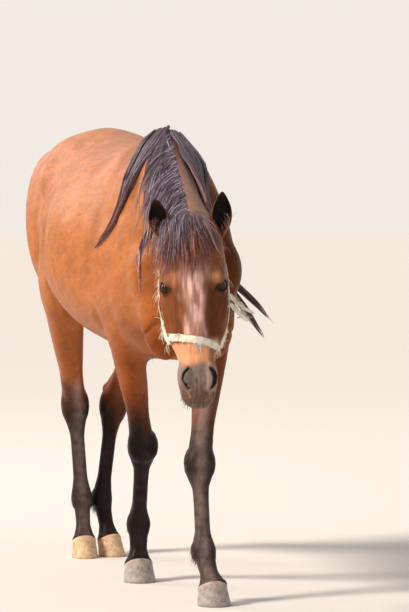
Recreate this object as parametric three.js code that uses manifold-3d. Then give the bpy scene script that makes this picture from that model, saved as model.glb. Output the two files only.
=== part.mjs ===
// A bay horse at a walk, life size, in millimetres, +Z up. It faces -Y and its left side is +X.
// Its body is one smooth form, described by a distance field of lofted sections and muscles. Each named
// part is a tube of rings found on that form, and neighbours are parted by thin cuts.
import * as THREE from "three";
import { mergeVertices } from "three/addons/utils/BufferGeometryUtils.js";
import Module from "manifold-3d";

const wasm = await Module();
wasm.setup();

// ---- Driving dimensions ----
const COAT = 3; // the coat's depth over the skin
const CUT = 0.4; // the gap that parts two neighbours
const NECK_TURN = THREE.MathUtils.degToRad(14); // the head is turned this far to the horse's right
const HEAD_TILT = THREE.MathUtils.degToRad(11); // the muzzle is carried this far ahead of the poll
const HEAD_ROLL = THREE.MathUtils.degToRad(2.5); // the poll leans this far to the horse's right

// A point given as side (its left is +), ahead (towards the nose) and up.
const at = (side, ahead, up) => new THREE.Vector3(side, -ahead, up);
const AHEAD = at(0, 1, 0);
const UP = at(0, 0, 1);
const LEFT = at(1, 0, 0);

// ---- Pose: the joints of each leg, and the poll ----
const POLL = at(-92, 720, 1228);
const FORELEGS = {
  left: {
    sign: 1,
    shoulder: at(128, 290, 1045),
    elbow: at(122, 112, 848),
    knee: at(53, 245, 433),
    fetlock: at(44, 335, 165),
    hoof: at(62, 402, 0),
    toeOut: 4,
  },
  right: {
    sign: -1,
    shoulder: at(-128, 266, 1040),
    elbow: at(-115, -45, 852),
    knee: at(-32, -185, 455),
    fetlock: at(-17, -308, 186),
    hoof: at(-24, -262, 0),
    toeOut: 2,
  },
};
const HINDLEGS = {
  left: {
    sign: 1,
    stifle: at(158, -800, 925),
    hock: at(78, -1114, 528),
    fetlock: at(33, -1098, 194),
    hoof: at(52, -1024, 0),
    toeOut: 18,
  },
  right: {
    sign: -1,
    stifle: at(-165, -790, 930),
    hock: at(-60, -1112, 528),
    fetlock: at(-45, -1068, 200),
    hoof: at(-49, -1000, 0),
    toeOut: 3,
  },
};

for (const leg of [...Object.values(FORELEGS), ...Object.values(HINDLEGS)]) {
  const turn = THREE.MathUtils.degToRad(leg.toeOut) * leg.sign;
  leg.toe = at(Math.sin(turn), Math.cos(turn), 0);
  leg.coronet = leg.hoof.clone().addScaledVector(leg.toe, -20).add(at(0, 0, 60));
}

// ---- Section tables, each row read at its first number ----
// Trunk: ahead, half width, top, bottom, height of the widest, fullness above, fullness below
const TRUNK = [
  [385, 30, 1080, 1000, 1040, 2, 2],
  [360, 85, 1130, 950, 1040, 2, 2],
  [310, 135, 1215, 880, 1045, 2, 2.1],
  [220, 170, 1345, 792, 1050, 1.8, 2.2],
  [110, 199, 1440, 752, 1060, 1.5, 2.2],
  [20, 213, 1492, 740, 1070, 1.3, 2.2],
  [-60, 230, 1492, 742, 1075, 1.45, 2.1],
  [-160, 250, 1468, 752, 1080, 1.6, 2.1],
  [-300, 280, 1438, 768, 1085, 1.8, 2.1],
  [-450, 296, 1430, 785, 1090, 1.95, 2.1],
  [-600, 288, 1446, 815, 1105, 2.0, 2.1],
  [-730, 262, 1474, 862, 1140, 2.1, 2.0],
  [-840, 244, 1494, 915, 1180, 2.0, 2.0],
  [-940, 232, 1488, 960, 1200, 1.95, 2.0],
  [-1030, 205, 1455, 1000, 1210, 1.95, 2.0],
  [-1100, 165, 1405, 1050, 1215, 2.1, 2.0],
  [-1150, 105, 1340, 1110, 1220, 2, 2],
  [-1172, 40, 1270, 1170, 1220, 2, 2],
];
// Neck: share of the way from withers to poll, half width, crest, throat, fullness above, fullness below
const NECK = [
  [-0.25, 120, 200, 300, 1.5, 2.0],
  [0, 116, 218, 290, 1.5, 2.0],
  [0.25, 102, 190, 236, 1.6, 2.0],
  [0.5, 86, 162, 188, 1.7, 2.1],
  [0.75, 74, 134, 152, 1.8, 2.1],
  [1.0, 68, 108, 126, 1.9, 2.1],
  [1.15, 58, 86, 100, 2, 2],
];
// Head: distance below the poll, half width, forehead line, jaw line, depth of the widest,
// fullness before and behind
const HEAD = [
  [-14, 34, -52, -112, -80, 2, 2],
  [8, 68, -26, -150, -78, 2.2, 2],
  [50, 86, -6, -186, -76, 2.4, 1.9],
  [110, 96, 8, -226, -72, 2.5, 1.8],
  [170, 100, 9, -250, -68, 2.25, 1.7],
  [215, 101, 5, -252, -70, 1.95, 1.7],
  [262, 96, -2, -236, -78, 1.75, 1.8],
  [310, 91, -8, -212, -86, 1.55, 1.9],
  [345, 84, -12, -192, -88, 1.5, 1.9],
  [378, 74, -14, -174, -86, 1.55, 2],
  [405, 64, -16, -160, -84, 1.7, 2],
  [435, 55, -19, -150, -82, 2.0, 2.1],
  [470, 53, -22, -143, -80, 2.3, 2.2],
  [505, 55, -29, -141, -84, 2.4, 2.3],
  [535, 52, -40, -138, -90, 2.3, 2.2],
  [560, 40, -58, -128, -95, 2.1, 2.1],
  [573, 22, -76, -114, -96, 2, 2],
];
// Legs: share of the bone, outer half width, inner half width, front, back
const FOREARM = [
  [-0.3, 40, 45, 55, 70],
  [-0.12, 60, 56, 82, 96],
  [0.05, 62, 54, 82, 98],
  [0.25, 57, 50, 70, 76],
  [0.5, 46, 41, 54, 50],
  [0.75, 36, 34, 42, 38],
  [0.9, 38, 38, 40, 37],
  [1.0, 45, 45, 43, 40],
  [1.06, 40, 40, 38, 34],
];
const FORE_CANNON = [
  [-0.14, 38, 38, 36, 32],
  [-0.05, 46, 46, 43, 42],
  [0.06, 46, 46, 42, 43],
  [0.16, 38, 38, 34, 41],
  [0.3, 26, 26, 27, 37],
  [0.5, 24, 24, 25, 36],
  [0.75, 24, 24, 25, 36],
  [0.88, 30, 30, 29, 39],
  [1.0, 36, 36, 34, 42],
  [1.08, 33, 33, 31, 38],
];
const PASTERN = [
  [-0.2, 30, 30, 30, 34],
  [0, 35, 35, 34, 42],
  [0.3, 30, 30, 29, 35],
  [0.6, 28, 28, 28, 31],
  [0.85, 36, 36, 34, 38],
  [1.0, 46, 46, 44, 44],
  [1.15, 48, 48, 48, 46],
];
const GASKIN = [
  [-0.25, 60, 60, 70, 130],
  [0, 68, 62, 82, 150],
  [0.25, 62, 54, 72, 118],
  [0.5, 51, 44, 58, 82],
  [0.75, 39, 36, 44, 60],
  [0.92, 38, 38, 42, 58],
  [1.05, 36, 36, 38, 48],
];
const HIND_CANNON = [
  [-0.14, 38, 38, 38, 46],
  [-0.03, 45, 45, 43, 52],
  [0.08, 43, 43, 40, 50],
  [0.2, 33, 33, 32, 44],
  [0.38, 24, 24, 26, 38],
  [0.75, 24, 24, 26, 37],
  [0.88, 29, 29, 30, 41],
  [1.0, 33, 33, 34, 43],
  [1.08, 31, 31, 32, 40],
];

// ---- Distance fields ----
// Reads rows of numbers as smooth curves of their first column that never overshoot a row.
function through(rows) {
  const steps = rows.slice(1).map((row, i) => row[0] - rows[i][0]);
  const slopes = rows[0].map((_, c) => {
    const rise = steps.map((h, i) => (rows[i + 1][c] - rows[i][c]) / h);
    return rows.map((_, i) => {
      if (i === 0) return rise[0];
      if (i === rows.length - 1) return rise[i - 1];
      if (rise[i - 1] * rise[i] <= 0) return 0;
      const before = 2 * steps[i] + steps[i - 1];
      const after = steps[i] + 2 * steps[i - 1];
      return (before + after) / (before / rise[i - 1] + after / rise[i]);
    });
  });
  const downhill = rows[1][0] < rows[0][0];
  return (t) => {
    let i = 0;
    while (i < rows.length - 2 && (downhill ? t < rows[i + 1][0] : t > rows[i + 1][0])) i++;
    const h = steps[i];
    const u = Math.min(1, Math.max(0, (t - rows[i][0]) / h));
    return rows[i].map((value, c) => {
      const next = rows[i + 1][c];
      return (
        value * (1 + 2 * u) * (1 - u) ** 2 +
        next * u * u * (3 - 2 * u) +
        h * slopes[c][i] * u * (1 - u) ** 2 +
        h * slopes[c][i + 1] * u * u * (u - 1)
      );
    });
  };
}

// How far a point of a section lies outside a rounded outline of half extents a and b and fullness n.
function outsideSection(x, y, a, b, n) {
  const u = Math.abs(x) / a;
  const v = Math.abs(y) / b;
  const q = (u ** n + v ** n) ** (1 / n);
  if (q < 1e-6) return -Math.min(a, b);
  const gx = (u / q) ** (n - 1) / a;
  const gy = (v / q) ** (n - 1) / b;
  return (q - 1) / Math.hypot(gx, gy);
}

// A form whose sections follow a straight line. section(t) gives the extents at a distance t along it.
function loft({ from, along, facing, range, section }) {
  const line = along.clone().normalize();
  const front = facing.clone().addScaledVector(line, -facing.dot(line)).normalize();
  const side = new THREE.Vector3().crossVectors(front, line);
  const d = new THREE.Vector3();
  return (p) => {
    d.subVectors(p, from);
    const t = d.dot(line);
    const s = section(Math.min(range[1], Math.max(range[0], t)));
    const x = d.dot(side);
    const y = d.dot(front) - (s.mid ?? 0);
    const [depth, fullness] = y > 0 ? [s.front, s.n] : [s.back, s.nBack ?? s.n];
    const out = outsideSection(x, y, x > 0 ? s.left : s.right, depth, fullness);
    const past = Math.max(range[0] - t, t - range[1]);
    if (past <= 0) return out;
    return out > 0 ? Math.hypot(out, past) : past;
  };
}

// A muscle or bone end: an ellipsoid with its length along one direction and its thickness facing another.
function lump(centre, along, facing, length, width, thickness) {
  const a = along.clone().normalize();
  const f = facing.clone().addScaledVector(a, -facing.dot(a)).normalize();
  const w = new THREE.Vector3().crossVectors(a, f);
  const d = new THREE.Vector3();
  return (p) => {
    d.subVectors(p, centre);
    const x = d.dot(a) / length;
    const y = d.dot(w) / width;
    const z = d.dot(f) / thickness;
    const k = Math.hypot(x, y, z);
    return k < 1e-6 ? -thickness : (k * (k - 1)) / Math.hypot(x / length, y / width, z / thickness);
  };
}

// A tapered rod with round ends.
function rod(a, b, radiusA, radiusB) {
  const line = new THREE.Vector3().subVectors(b, a);
  const d = new THREE.Vector3();
  return (p) => {
    d.subVectors(p, a);
    const t = Math.min(1, Math.max(0, d.dot(line) / line.lengthSq()));
    d.addScaledVector(line, -t);
    return d.length() - radiusA - (radiusB - radiusA) * t;
  };
}

function softMin(a, b, k) {
  const h = Math.max(k - Math.abs(a - b), 0);
  return Math.min(a, b) - (h * h) / (4 * k);
}
const join = (k, ...fields) => (p) => fields.reduce((far, f) => softMin(far, f(p), k), Infinity);
const carve = (k, field, ...cuts) => (p) => cuts.reduce((far, f) => -softMin(-far, f(p), k), field(p));
const mirrored = (make) => [make(1), make(-1)];

// ---- Trunk, with the muscles of shoulder, breast and quarters ----
const readTrunk = through(TRUNK);
const barrel = loft({
  from: at(0, 0, 0),
  along: AHEAD,
  facing: UP,
  range: [TRUNK.at(-1)[0], TRUNK[0][0]],
  section: (t) => {
    const [, half, top, bottom, mid, n, nBack] = readTrunk(t);
    return { left: half, right: half, front: top - mid, back: mid - bottom, mid, n, nBack };
  },
});

function shoulderMuscles({ sign, shoulder, elbow }) {
  const out = at(sign, 0.1, 0.15);
  const bladeTop = at(sign * 50, 0, 1430);
  const blade = shoulder.clone().sub(bladeTop);
  const bladeMid = bladeTop.clone().lerp(shoulder, 0.5).add(at(sign * 14, 0, 0));
  const armMid = shoulder.clone().lerp(elbow, 0.5);
  return join(
    24,
    lump(bladeMid, blade, out, 240, 100, 46),
    lump(shoulder, UP, out, 84, 68, 50),
    lump(armMid.clone().add(at(sign * 6, -14, 20)), elbow.clone().sub(shoulder), out, 150, 86, 50),
    lump(elbow.clone().add(at(sign * 10, -38, 130)), at(0, 0.5, 1), out, 145, 98, 54),
  );
}
const breast = mirrored((s) => lump(at(s * 72, 298, 920), at(0, -0.25, 1), at(s, 1, 0), 160, 82, 78));
const brisket = lump(at(0, 150, 800), AHEAD, UP, 190, 105, 66);

function quarterMuscles({ sign, stifle }) {
  const out = at(sign, 0, 0.2);
  return join(
    34,
    lump(at(sign * 118, -880, 1358), AHEAD, at(sign, 0, 1), 210, 118, 88),
    lump(at(sign * 218, -772, 1322), at(0, 1, 0.4), out, 52, 60, 40),
    lump(at(sign * 158, -985, 1165), at(0, 0.35, -1), out, 250, 165, 92),
    lump(at(sign * 108, -1090, 1150), at(0, 0.1, 1), at(sign * 0.5, -1, 0), 230, 92, 78),
    lump(stifle.clone().add(at(sign * -8, -40, 60)), at(0, 0.5, -1), out, 165, 120, 72),
  );
}

// ---- Legs ----
function bone(from, to, sign, rows, fullness = 2.2, facing = AHEAD) {
  const length = from.distanceTo(to);
  const read = through(rows);
  return loft({
    from,
    along: to.clone().sub(from),
    facing,
    range: [rows[0][0] * length, rows.at(-1)[0] * length],
    section: (t) => {
      const [, outer, inner, front, back] = read(t / length);
      const [left, right] = sign > 0 ? [outer, inner] : [inner, outer];
      return { left, right, front, back, n: fullness };
    },
  });
}
function lowerLeg(leg, pasternGirth) {
  const { toe } = leg;
  const slimmer = PASTERN.map(([t, ...sizes]) => [t, ...sizes.map((v) => v * pasternGirth)]);
  return join(
    12,
    bone(leg.fetlock, leg.coronet, leg.sign, slimmer, 2.2, toe),
    lump(leg.fetlock.clone().addScaledVector(toe, -22).add(at(0, 0, -4)), UP, toe, 34, 29, 26),
  );
}
const FORE_PASTERN_GIRTH = 1;
const HIND_PASTERN_GIRTH = 0.88;

function foreleg(leg) {
  const { sign, elbow, knee, fetlock } = leg;
  return join(
    14,
    bone(elbow, knee, sign, FOREARM),
    bone(knee, fetlock, sign, FORE_CANNON),
    lump(elbow.clone().add(at(sign * 8, -88, 32)), UP, AHEAD, 62, 34, 42),
    lump(knee.clone().add(at(0, 8, 2)), UP, AHEAD, 54, 46, 38),
    lump(knee.clone().add(at(sign * 6, -40, 22)), UP, AHEAD, 28, 15, 20),
    lowerLeg(leg, FORE_PASTERN_GIRTH),
  );
}
function hindleg(leg) {
  const { sign, stifle, hock, fetlock } = leg;
  const hockPoint = hock.clone().add(at(0, -66, 46));
  return join(
    14,
    bone(stifle, hock, sign, GASKIN),
    bone(hock, fetlock, sign, HIND_CANNON),
    lump(hock.clone().add(at(0, 6, -6)), UP, AHEAD, 66, 46, 46),
    rod(hock.clone().add(at(0, -40, -40)), hockPoint, 28, 21),
    rod(hockPoint, stifle.clone().lerp(hock, 0.62).add(at(0, -62, 0)), 19, 16),
    lowerLeg(leg, HIND_PASTERN_GIRTH),
  );
}

// ---- Neck ----
const NECK_BASE = at(0, 40, 1250);
const NECK_END = at(-56, 602, 1152);
const neckLength = NECK_BASE.distanceTo(NECK_END);
const readNeck = through(NECK);
const neckField = loft({
  from: NECK_BASE,
  along: NECK_END.clone().sub(NECK_BASE),
  facing: UP,
  range: [NECK[0][0] * neckLength, NECK.at(-1)[0] * neckLength],
  section: (t) => {
    const [, half, front, back, n, nBack] = readNeck(t / neckLength);
    return { left: half, right: half, front, back, n, nBack };
  },
});

// ---- Head, in a frame of its own: down the face, to its left, and out of the face ----
const headOut = at(-Math.sin(NECK_TURN), Math.cos(NECK_TURN), 0);
const headLeft = at(Math.cos(NECK_TURN), Math.sin(NECK_TURN), Math.tan(HEAD_ROLL)).normalize();
const headDown = new THREE.Vector3().crossVectors(headLeft, headOut).normalize();
{
  // Tilt the face about its own left-right axis, so that the muzzle comes forward.
  const tilt = new THREE.Quaternion().setFromAxisAngle(headLeft, HEAD_TILT);
  const probe = headDown.clone().applyQuaternion(tilt);
  if (probe.dot(headOut) < 0) tilt.invert();
  headDown.applyQuaternion(tilt);
  headOut.applyQuaternion(tilt);
}
const onHead = (down, left, out) =>
  POLL.clone()
    .addScaledVector(headDown, down)
    .addScaledVector(headLeft, left)
    .addScaledVector(headOut, out);

const readHead = through(HEAD);
const skull = loft({
  from: POLL,
  along: headDown,
  facing: headOut,
  range: [HEAD[0][0], HEAD.at(-1)[0]],
  section: (t) => {
    const [, half, front, back, mid, n, nBack] = readHead(t);
    return { left: half, right: half, front: front - mid, back: mid - back, mid, n, nBack };
  },
});
const EYE_RADIUS = 21;
const eyeCentre = (s) => onHead(212, s * 79, -43);
const headField = carve(
  10,
  join(
    16,
    skull,
    ...mirrored((s) => lump(onHead(212, s * 70, -150), headDown, headLeft, 106, 90, 28)),
    ...mirrored((s) => lump(onHead(172, s * 80, -30), headDown, headLeft, 36, 24, 16)),
    ...mirrored((s) => rod(onHead(250, s * 90, -80), onHead(350, s * 72, -82), 12, 8)),
    ...mirrored((s) => lump(onHead(484, s * 41, -50), headDown, headLeft, 44, 32, 20)),
    lump(onHead(534, 0, -66), headLeft, headOut, 48, 34, 30),
    lump(onHead(532, 0, -122), headLeft, headOut, 40, 34, 22),
  ),
  ...mirrored((s) => lump(onHead(240, s * 118, -36), headDown, headLeft, 52, 30, 15)),
);

// ---- The whole body ----
const trunkField = join(
  34,
  barrel,
  join(30, ...Object.values(FORELEGS).map(shoulderMuscles), ...breast, brisket),
  join(30, ...Object.values(HINDLEGS).map(quarterMuscles)),
);
const forelegFields = Object.fromEntries(Object.entries(FORELEGS).map(([k, leg]) => [k, foreleg(leg)]));
const hindlegFields = Object.fromEntries(Object.entries(HINDLEGS).map(([k, leg]) => [k, hindleg(leg)]));
const BLEND = 36;
const torsoField = join(44, trunkField, neckField);
const legFields = [...Object.values(forelegFields), ...Object.values(hindlegFields)];
const torsoWithLegs = join(BLEND, torsoField, ...legFields);
const headAndNeck = join(BLEND, torsoField, headField);

// ---- Meshes ----
// The distance from a point inside a form to its surface.
function reach(field, from, direction, limit) {
  const p = new THREE.Vector3();
  const value = (r) => field(p.copy(from).addScaledVector(direction, r)) - COAT;
  const step = 7;
  let r = 2;
  while (r < limit && value(r) < 0) r += step;
  if (r >= limit) return limit;
  let low = Math.max(0, r - step);
  for (let i = 0; i < 9; i++) {
    const mid = (low + r) / 2;
    if (value(mid) < 0) low = mid;
    else r = mid;
  }
  return (low + r) / 2;
}

// A ring's frame: its front and its side, square to the line it sits on.
function ringAxes({ along, facing }) {
  const front = facing.clone().addScaledVector(along, -facing.dot(along)).normalize();
  return [front, new THREE.Vector3().crossVectors(front, along)];
}

// A direction at an angle between a front and a side.
const spoke = (front, side, angle) =>
  front.clone().multiplyScalar(Math.cos(angle)).addScaledVector(side, Math.sin(angle));

// A closed skin over rings of points, each with as many points as the next. Its ends are fans round a tip.
function skinned(rings, firstTip, lastTip) {
  const segments = rings[0].length;
  const points = rings.flat().concat(firstTip, lastTip);
  const tip = rings.length * segments;
  const last = tip - segments;
  const faces = walls(rings.length, segments);
  for (let j = 0; j < segments; j++) {
    const k = (j + 1) % segments;
    faces.push(tip, k, j, tip + 1, last + j, last + k);
  }
  return closed(points, faces);
}
// The same over flat or curled sections, that list one face and come back along the other.
function skinnedFlat(rings) {
  const segments = rings[0].length;
  const faces = walls(rings.length, segments);
  for (const [first, turn] of [[0, true], [(rings.length - 1) * segments, false]]) {
    for (let j = 0; j < segments / 2 - 1; j++) {
      const [a, b, c, d] = [j, j + 1, segments - 2 - j, segments - 1 - j].map((k) => first + k);
      faces.push(...(turn ? [a, c, b, a, d, c] : [a, b, c, a, c, d]));
    }
  }
  return closed(rings.flat(), faces);
}
function walls(count, segments, closedLoop = false) {
  const faces = [];
  for (let i = 0; i < (closedLoop ? count : count - 1); i++) {
    const next = ((i + 1) % count) * segments;
    for (let j = 0; j < segments; j++) {
      const k = (j + 1) % segments;
      faces.push(i * segments + j, i * segments + k, next + k, i * segments + j, next + k, next + j);
    }
  }
  return faces;
}

// A geometry whose faces point out, whichever way round they were listed.
function closed(points, faces) {
  const [b, c] = [new THREE.Vector3(), new THREE.Vector3()];
  let volume = 0;
  for (let i = 0; i < faces.length; i += 3) {
    b.copy(points[faces[i + 1]]).sub(points[0]);
    c.copy(points[faces[i + 2]]).sub(points[0]);
    volume += points[faces[i]].clone().sub(points[0]).dot(b.cross(c));
  }
  if (volume < 0) faces.reverse();
  const geometry = new THREE.BufferGeometry().setFromPoints(points);
  geometry.setIndex(faces);
  return geometry;
}

// A tube through rings on a form. Each ring is { centre, along, facing, lean }: lean tips its rays
// towards the end.
function tube(rings, segments, radius) {
  const points = rings.map((ring) => {
    const [front, side] = ringAxes(ring);
    const lean = THREE.MathUtils.degToRad(ring.lean ?? 0);
    return Array.from({ length: segments }, (_, j) => {
      const angle = (2 * Math.PI * j) / segments;
      const direction = spoke(spoke(front, side, angle), ring.along, lean);
      return ring.centre.clone().addScaledVector(direction, radius(ring.centre, direction));
    });
  });
  const tips = [rings[0], rings.at(-1)].map(({ centre, along, lean = 0 }) => {
    if (lean === 0) return centre.clone();
    const direction = along.clone().multiplyScalar(Math.sign(lean));
    return centre.clone().addScaledVector(direction, radius(centre, direction));
  });
  return skinned(points, ...tips);
}

function solid(geometry) {
  const bare = new THREE.BufferGeometry();
  bare.setAttribute("position", geometry.getAttribute("position"));
  bare.setIndex(geometry.index);
  const merged = mergeVertices(bare, 1e-3);
  return new wasm.Manifold(
    new wasm.Mesh({
      numProp: 3,
      vertProperties: merged.getAttribute("position").array,
      triVerts: new Uint32Array(merged.index.array),
    }),
  );
}
// The largest piece of a solid, as a geometry.
function geometryOf(manifold) {
  const [largest] = manifold.decompose().sort((a, b) => b.volume() - a.volume());
  const mesh = largest.getMesh();
  const geometry = new THREE.BufferGeometry();
  geometry.setAttribute("position", new THREE.BufferAttribute(new Float32Array(mesh.vertProperties), 3));
  geometry.setIndex(new THREE.BufferAttribute(new Uint32Array(mesh.triVerts), 1));
  return geometry;
}

// The surface of a whole form, but no further than a fillet outside one part of it.
const partOf = (whole, own, fillet, limit) => (centre, direction) =>
  Math.min(reach(whole, centre, direction, limit), reach(own, centre, direction, limit) + fillet);
const wider = (radius, extra) => (centre, direction) => radius(centre, direction) + extra;
const nudged = (ring, distance) => {
  const centre = ring.centre.clone().addScaledVector(ring.along, distance);
  return { ...ring, centre };
};

// ---- Materials ----
const material = (color, roughness) => new THREE.MeshStandardMaterial({ color, roughness, metalness: 0 });
const BAY = material(0xa8623a, 0.55);
const FACE = material(0x4a2f24, 0.55);
const BLACK_POINTS = material(0x2c2422, 0.6);
const LONG_HAIR = material(0x1f1c1d, 0.5);
const EYE = material(0x15100e, 0.1);
const HORN = material(0x8c8782, 0.6);
const TAPE = material(0xd8cba6, 0.85);

const root = new THREE.Group();
function add(name, geometry, surface) {
  const bare = geometry.index ? geometry : mergeVertices(geometry);
  bare.computeVertexNormals();
  const mesh = new THREE.Mesh(bare, surface.clone());
  mesh.name = name;
  root.add(mesh);
}

// ---- Trunk and neck: slices, upright along the barrel and fanned round the breast up to the poll ----
const RUMP = [-84, -66, -48, -32, -16];
const UPRIGHT = [-985, -925, -860, -795, -725, -640, -540, -430, -320, -220, -140];
// Fanned slices: ahead and up of the top, ahead and up of the bottom
// (the last one is where the neck starts)
const BREAST_SLICES = [
  [-98, 1486, -55, 743],
  [-66, 1493, 30, 738],
  [-38, 1496, 110, 748],
  [-13, 1497, 185, 774],
  [8, 1497, 250, 820],
  [28, 1494, 308, 886],
  [50, 1489, 354, 956],
  [72, 1482, 388, 1000],
];
const NECK_SLICES = [
  [72, 1482, 388, 1000],
  [148, 1455, 400, 1012],
  [240, 1422, 416, 1015],
  [335, 1390, 434, 1015],
  [430, 1360, 450, 1014],
  [525, 1334, 465, 1013],
  [618, 1311, 478, 1011],
  [705, 1292, 491, 1008],
];
const neckSide = (ahead) => (NECK_END.x * Math.max(0, ahead - 40)) / 560;
function slice([topAhead, topUp, bottomAhead, bottomUp], turn = 0) {
  const top = at(0, topAhead, topUp);
  const bottom = at(0, bottomAhead, bottomUp);
  const centre = top.clone().lerp(bottom, 0.5);
  centre.x = neckSide(-centre.y);
  const facing = top.sub(bottom).normalize();
  const lateral = at(Math.cos(turn), Math.sin(turn), 0);
  return { centre, along: new THREE.Vector3().crossVectors(lateral, facing).normalize(), facing };
}
const rumpRings = RUMP.map((lean) => ({ centre: at(0, -1000, 1225), along: AHEAD, facing: UP, lean }));
const uprightRings = UPRIGHT.map((t) => {
  const centre = at(0, t, Math.min(1185, readTrunk(t)[4]));
  return { centre, along: AHEAD, facing: UP };
});
const breastRings = BREAST_SLICES.map((row) => slice(row));
const neckRings = NECK_SLICES.map((row, i) => slice(row, (NECK_TURN * 0.8 * i) / (NECK_SLICES.length - 1)));
const trunkRings = [...rumpRings, ...uprightRings, ...breastRings];
const TORSO_SEGMENTS = 24;
const TORSO_LIMIT = 620;
const trunkRadius = partOf(torsoWithLegs, torsoField, 8, TORSO_LIMIT);
const trunkTube = solid(tube(trunkRings, TORSO_SEGMENTS, trunkRadius));

const neckStart = nudged(neckRings[0], CUT);
const neckRadius = partOf(headAndNeck, torsoField, 30, TORSO_LIMIT);
const neckTube = [neckStart, ...neckRings.slice(1)];
add("neck", tube(neckTube, TORSO_SEGMENTS, neckRadius), BAY);

// ---- Legs: the top of each is one with the trunk, and below it each bone is a node ----
function addLeg(name, leg, own, joints, counts, splits) {
  const curve = new THREE.CatmullRomCurve3(joints, false, "catmullrom", 0.3);
  const within = (count, i) => Array.from({ length: count }, (_, k) => (i + k / count) / counts.length);
  const stations = [...counts.flatMap(within), 1];
  const rings = stations.map((u) => {
    return { centre: curve.getPoint(u), along: curve.getTangent(u), facing: leg.toe };
  });
  rings.at(-1).along = coronetNormal(leg).negate();
  const radius = partOf(join(BLEND, torsoField, own), own, 16, 260);
  const [first] = splits;
  for (const [part, start, end, surface] of splits) {
    const piece = rings.slice(start, end + 1);
    piece[0] = nudged(piece[0], CUT);
    add(`${name}_${part}`, tube(piece, LEG_SEGMENTS, radius), surface);
  }
  return solid(tube(rings.slice(0, first[1] + 1), LEG_SEGMENTS, radius));
}
const LEG_SEGMENTS = 12;
const coronetNormal = (leg) => leg.toe.clone().multiplyScalar(-0.42).add(UP.clone().multiplyScalar(0.907));
const legTops = [];
for (const [name, leg] of Object.entries(FORELEGS)) {
  const top = leg.elbow.clone().lerp(leg.knee, -0.22);
  const joints = [top, leg.elbow, leg.knee, leg.fetlock, leg.coronet];
  const splits = [
    ["forearm", 6, 11, BAY],
    ["cannon", 11, 19, BLACK_POINTS],
    ["pastern", 19, 25, BLACK_POINTS],
  ];
  legTops.push(addLeg(`foreleg_${name}`, leg, forelegFields[name], joints, [2, 10, 9, 4], splits));
}
for (const [name, leg] of Object.entries(HINDLEGS)) {
  const top = leg.stifle.clone().lerp(leg.hock, -0.2).add(at(0, -30, 0));
  const middle = leg.stifle.clone().lerp(leg.hock, 0.5).add(at(0, -14, 0));
  const joints = [top, middle, leg.hock, leg.fetlock, leg.coronet];
  const splits = [
    ["gaskin", 3, 8, BAY],
    ["cannon", 8, 18, BLACK_POINTS],
    ["pastern", 18, 23, BLACK_POINTS],
  ];
  legTops.push(addLeg(`hindleg_${name}`, leg, hindlegFields[name], joints, [5, 5, 9, 4], splits));
}
add("trunk", geometryOf(legTops.reduce((all, top) => all.add(top), trunkTube)), BAY);
const trunkOver = [...trunkRings, nudged(trunkRings.at(-1), CUT)];
const neckOver = [...neckTube, nudged(neckTube.at(-1), CUT)];
const torsoGrown = solid(tube(trunkOver, TORSO_SEGMENTS, wider(trunkRadius, CUT))).add(
  solid(tube(neckOver, TORSO_SEGMENTS, wider(neckRadius, CUT))),
);

// ---- Hooves ----
const HOOF_SEGMENTS = 14;
const FORE_HOOF = { half: 54, toe: 60, heel: 52, coronetHalf: 45, coronetLength: 47 };
const HIND_HOOF = { half: 46.5, toe: 60, heel: 52, coronetHalf: 40, coronetLength: 45 };
function hoof(leg, size) {
  const side = new THREE.Vector3().crossVectors(leg.toe, UP);
  const slope = leg.toe.clone().multiplyScalar(0.907).add(UP.clone().multiplyScalar(0.42));
  const top = leg.coronet.clone().addScaledVector(coronetNormal(leg), -CUT);
  const outline = (share, grow) =>
    Array.from({ length: HOOF_SEGMENTS }, (_, j) => {
      const angle = (2 * Math.PI * j) / HOOF_SEGMENTS;
      const [c, s] = [Math.cos(angle), Math.sin(angle)];
      const heelIn = c < 0 ? 1 - 0.16 * c * c : 1;
      const low = leg.hoof
        .clone()
        .addScaledVector(leg.toe, c * ((c > 0 ? size.toe : size.heel) + grow))
        .addScaledVector(side, s * (size.half + grow) * heelIn);
      const high = top
        .clone()
        .addScaledVector(slope, c * (size.coronetLength + grow))
        .addScaledVector(side, s * (size.coronetHalf + grow));
      return low.lerp(high, share);
    });
  const rings = [outline(0, 0), outline(0.5, 0), outline(0.92, 1), outline(1, 0)];
  return skinned(rings, leg.hoof.clone(), top);
}
for (const [name, leg] of Object.entries(FORELEGS)) add(`hoof_fore_${name}`, hoof(leg, FORE_HOOF), HORN);
for (const [name, leg] of Object.entries(HINDLEGS)) add(`hoof_hind_${name}`, hoof(leg, HIND_HOOF), HORN);

// ---- Head ----
const HEAD_RINGS = [
  12, 42, 76, 112, 146, 176, 202, 228, 258, 292, 324, 354, 384, 412, 438, 460, 478, 496, 516, 534,
];
const HEAD_SEGMENTS = 22;
const headCentre = (t) => onHead(t, 0, readHead(t)[4] - 10);
const headRing = (t, lean = 0) => ({ centre: headCentre(t), along: headDown, facing: headOut, lean });
const headRings = [
  ...[-76, -40].map((lean) => headRing(12, lean)),
  ...HEAD_RINGS.map((t) => headRing(t)),
  ...[30, 62].map((lean) => headRing(534, lean)),
];
const headEnd = neckRings.at(-1);
const PAST_NECK = 60;
const headLimit = partOf(headAndNeck, headAndNeck, 0, 300);
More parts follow.
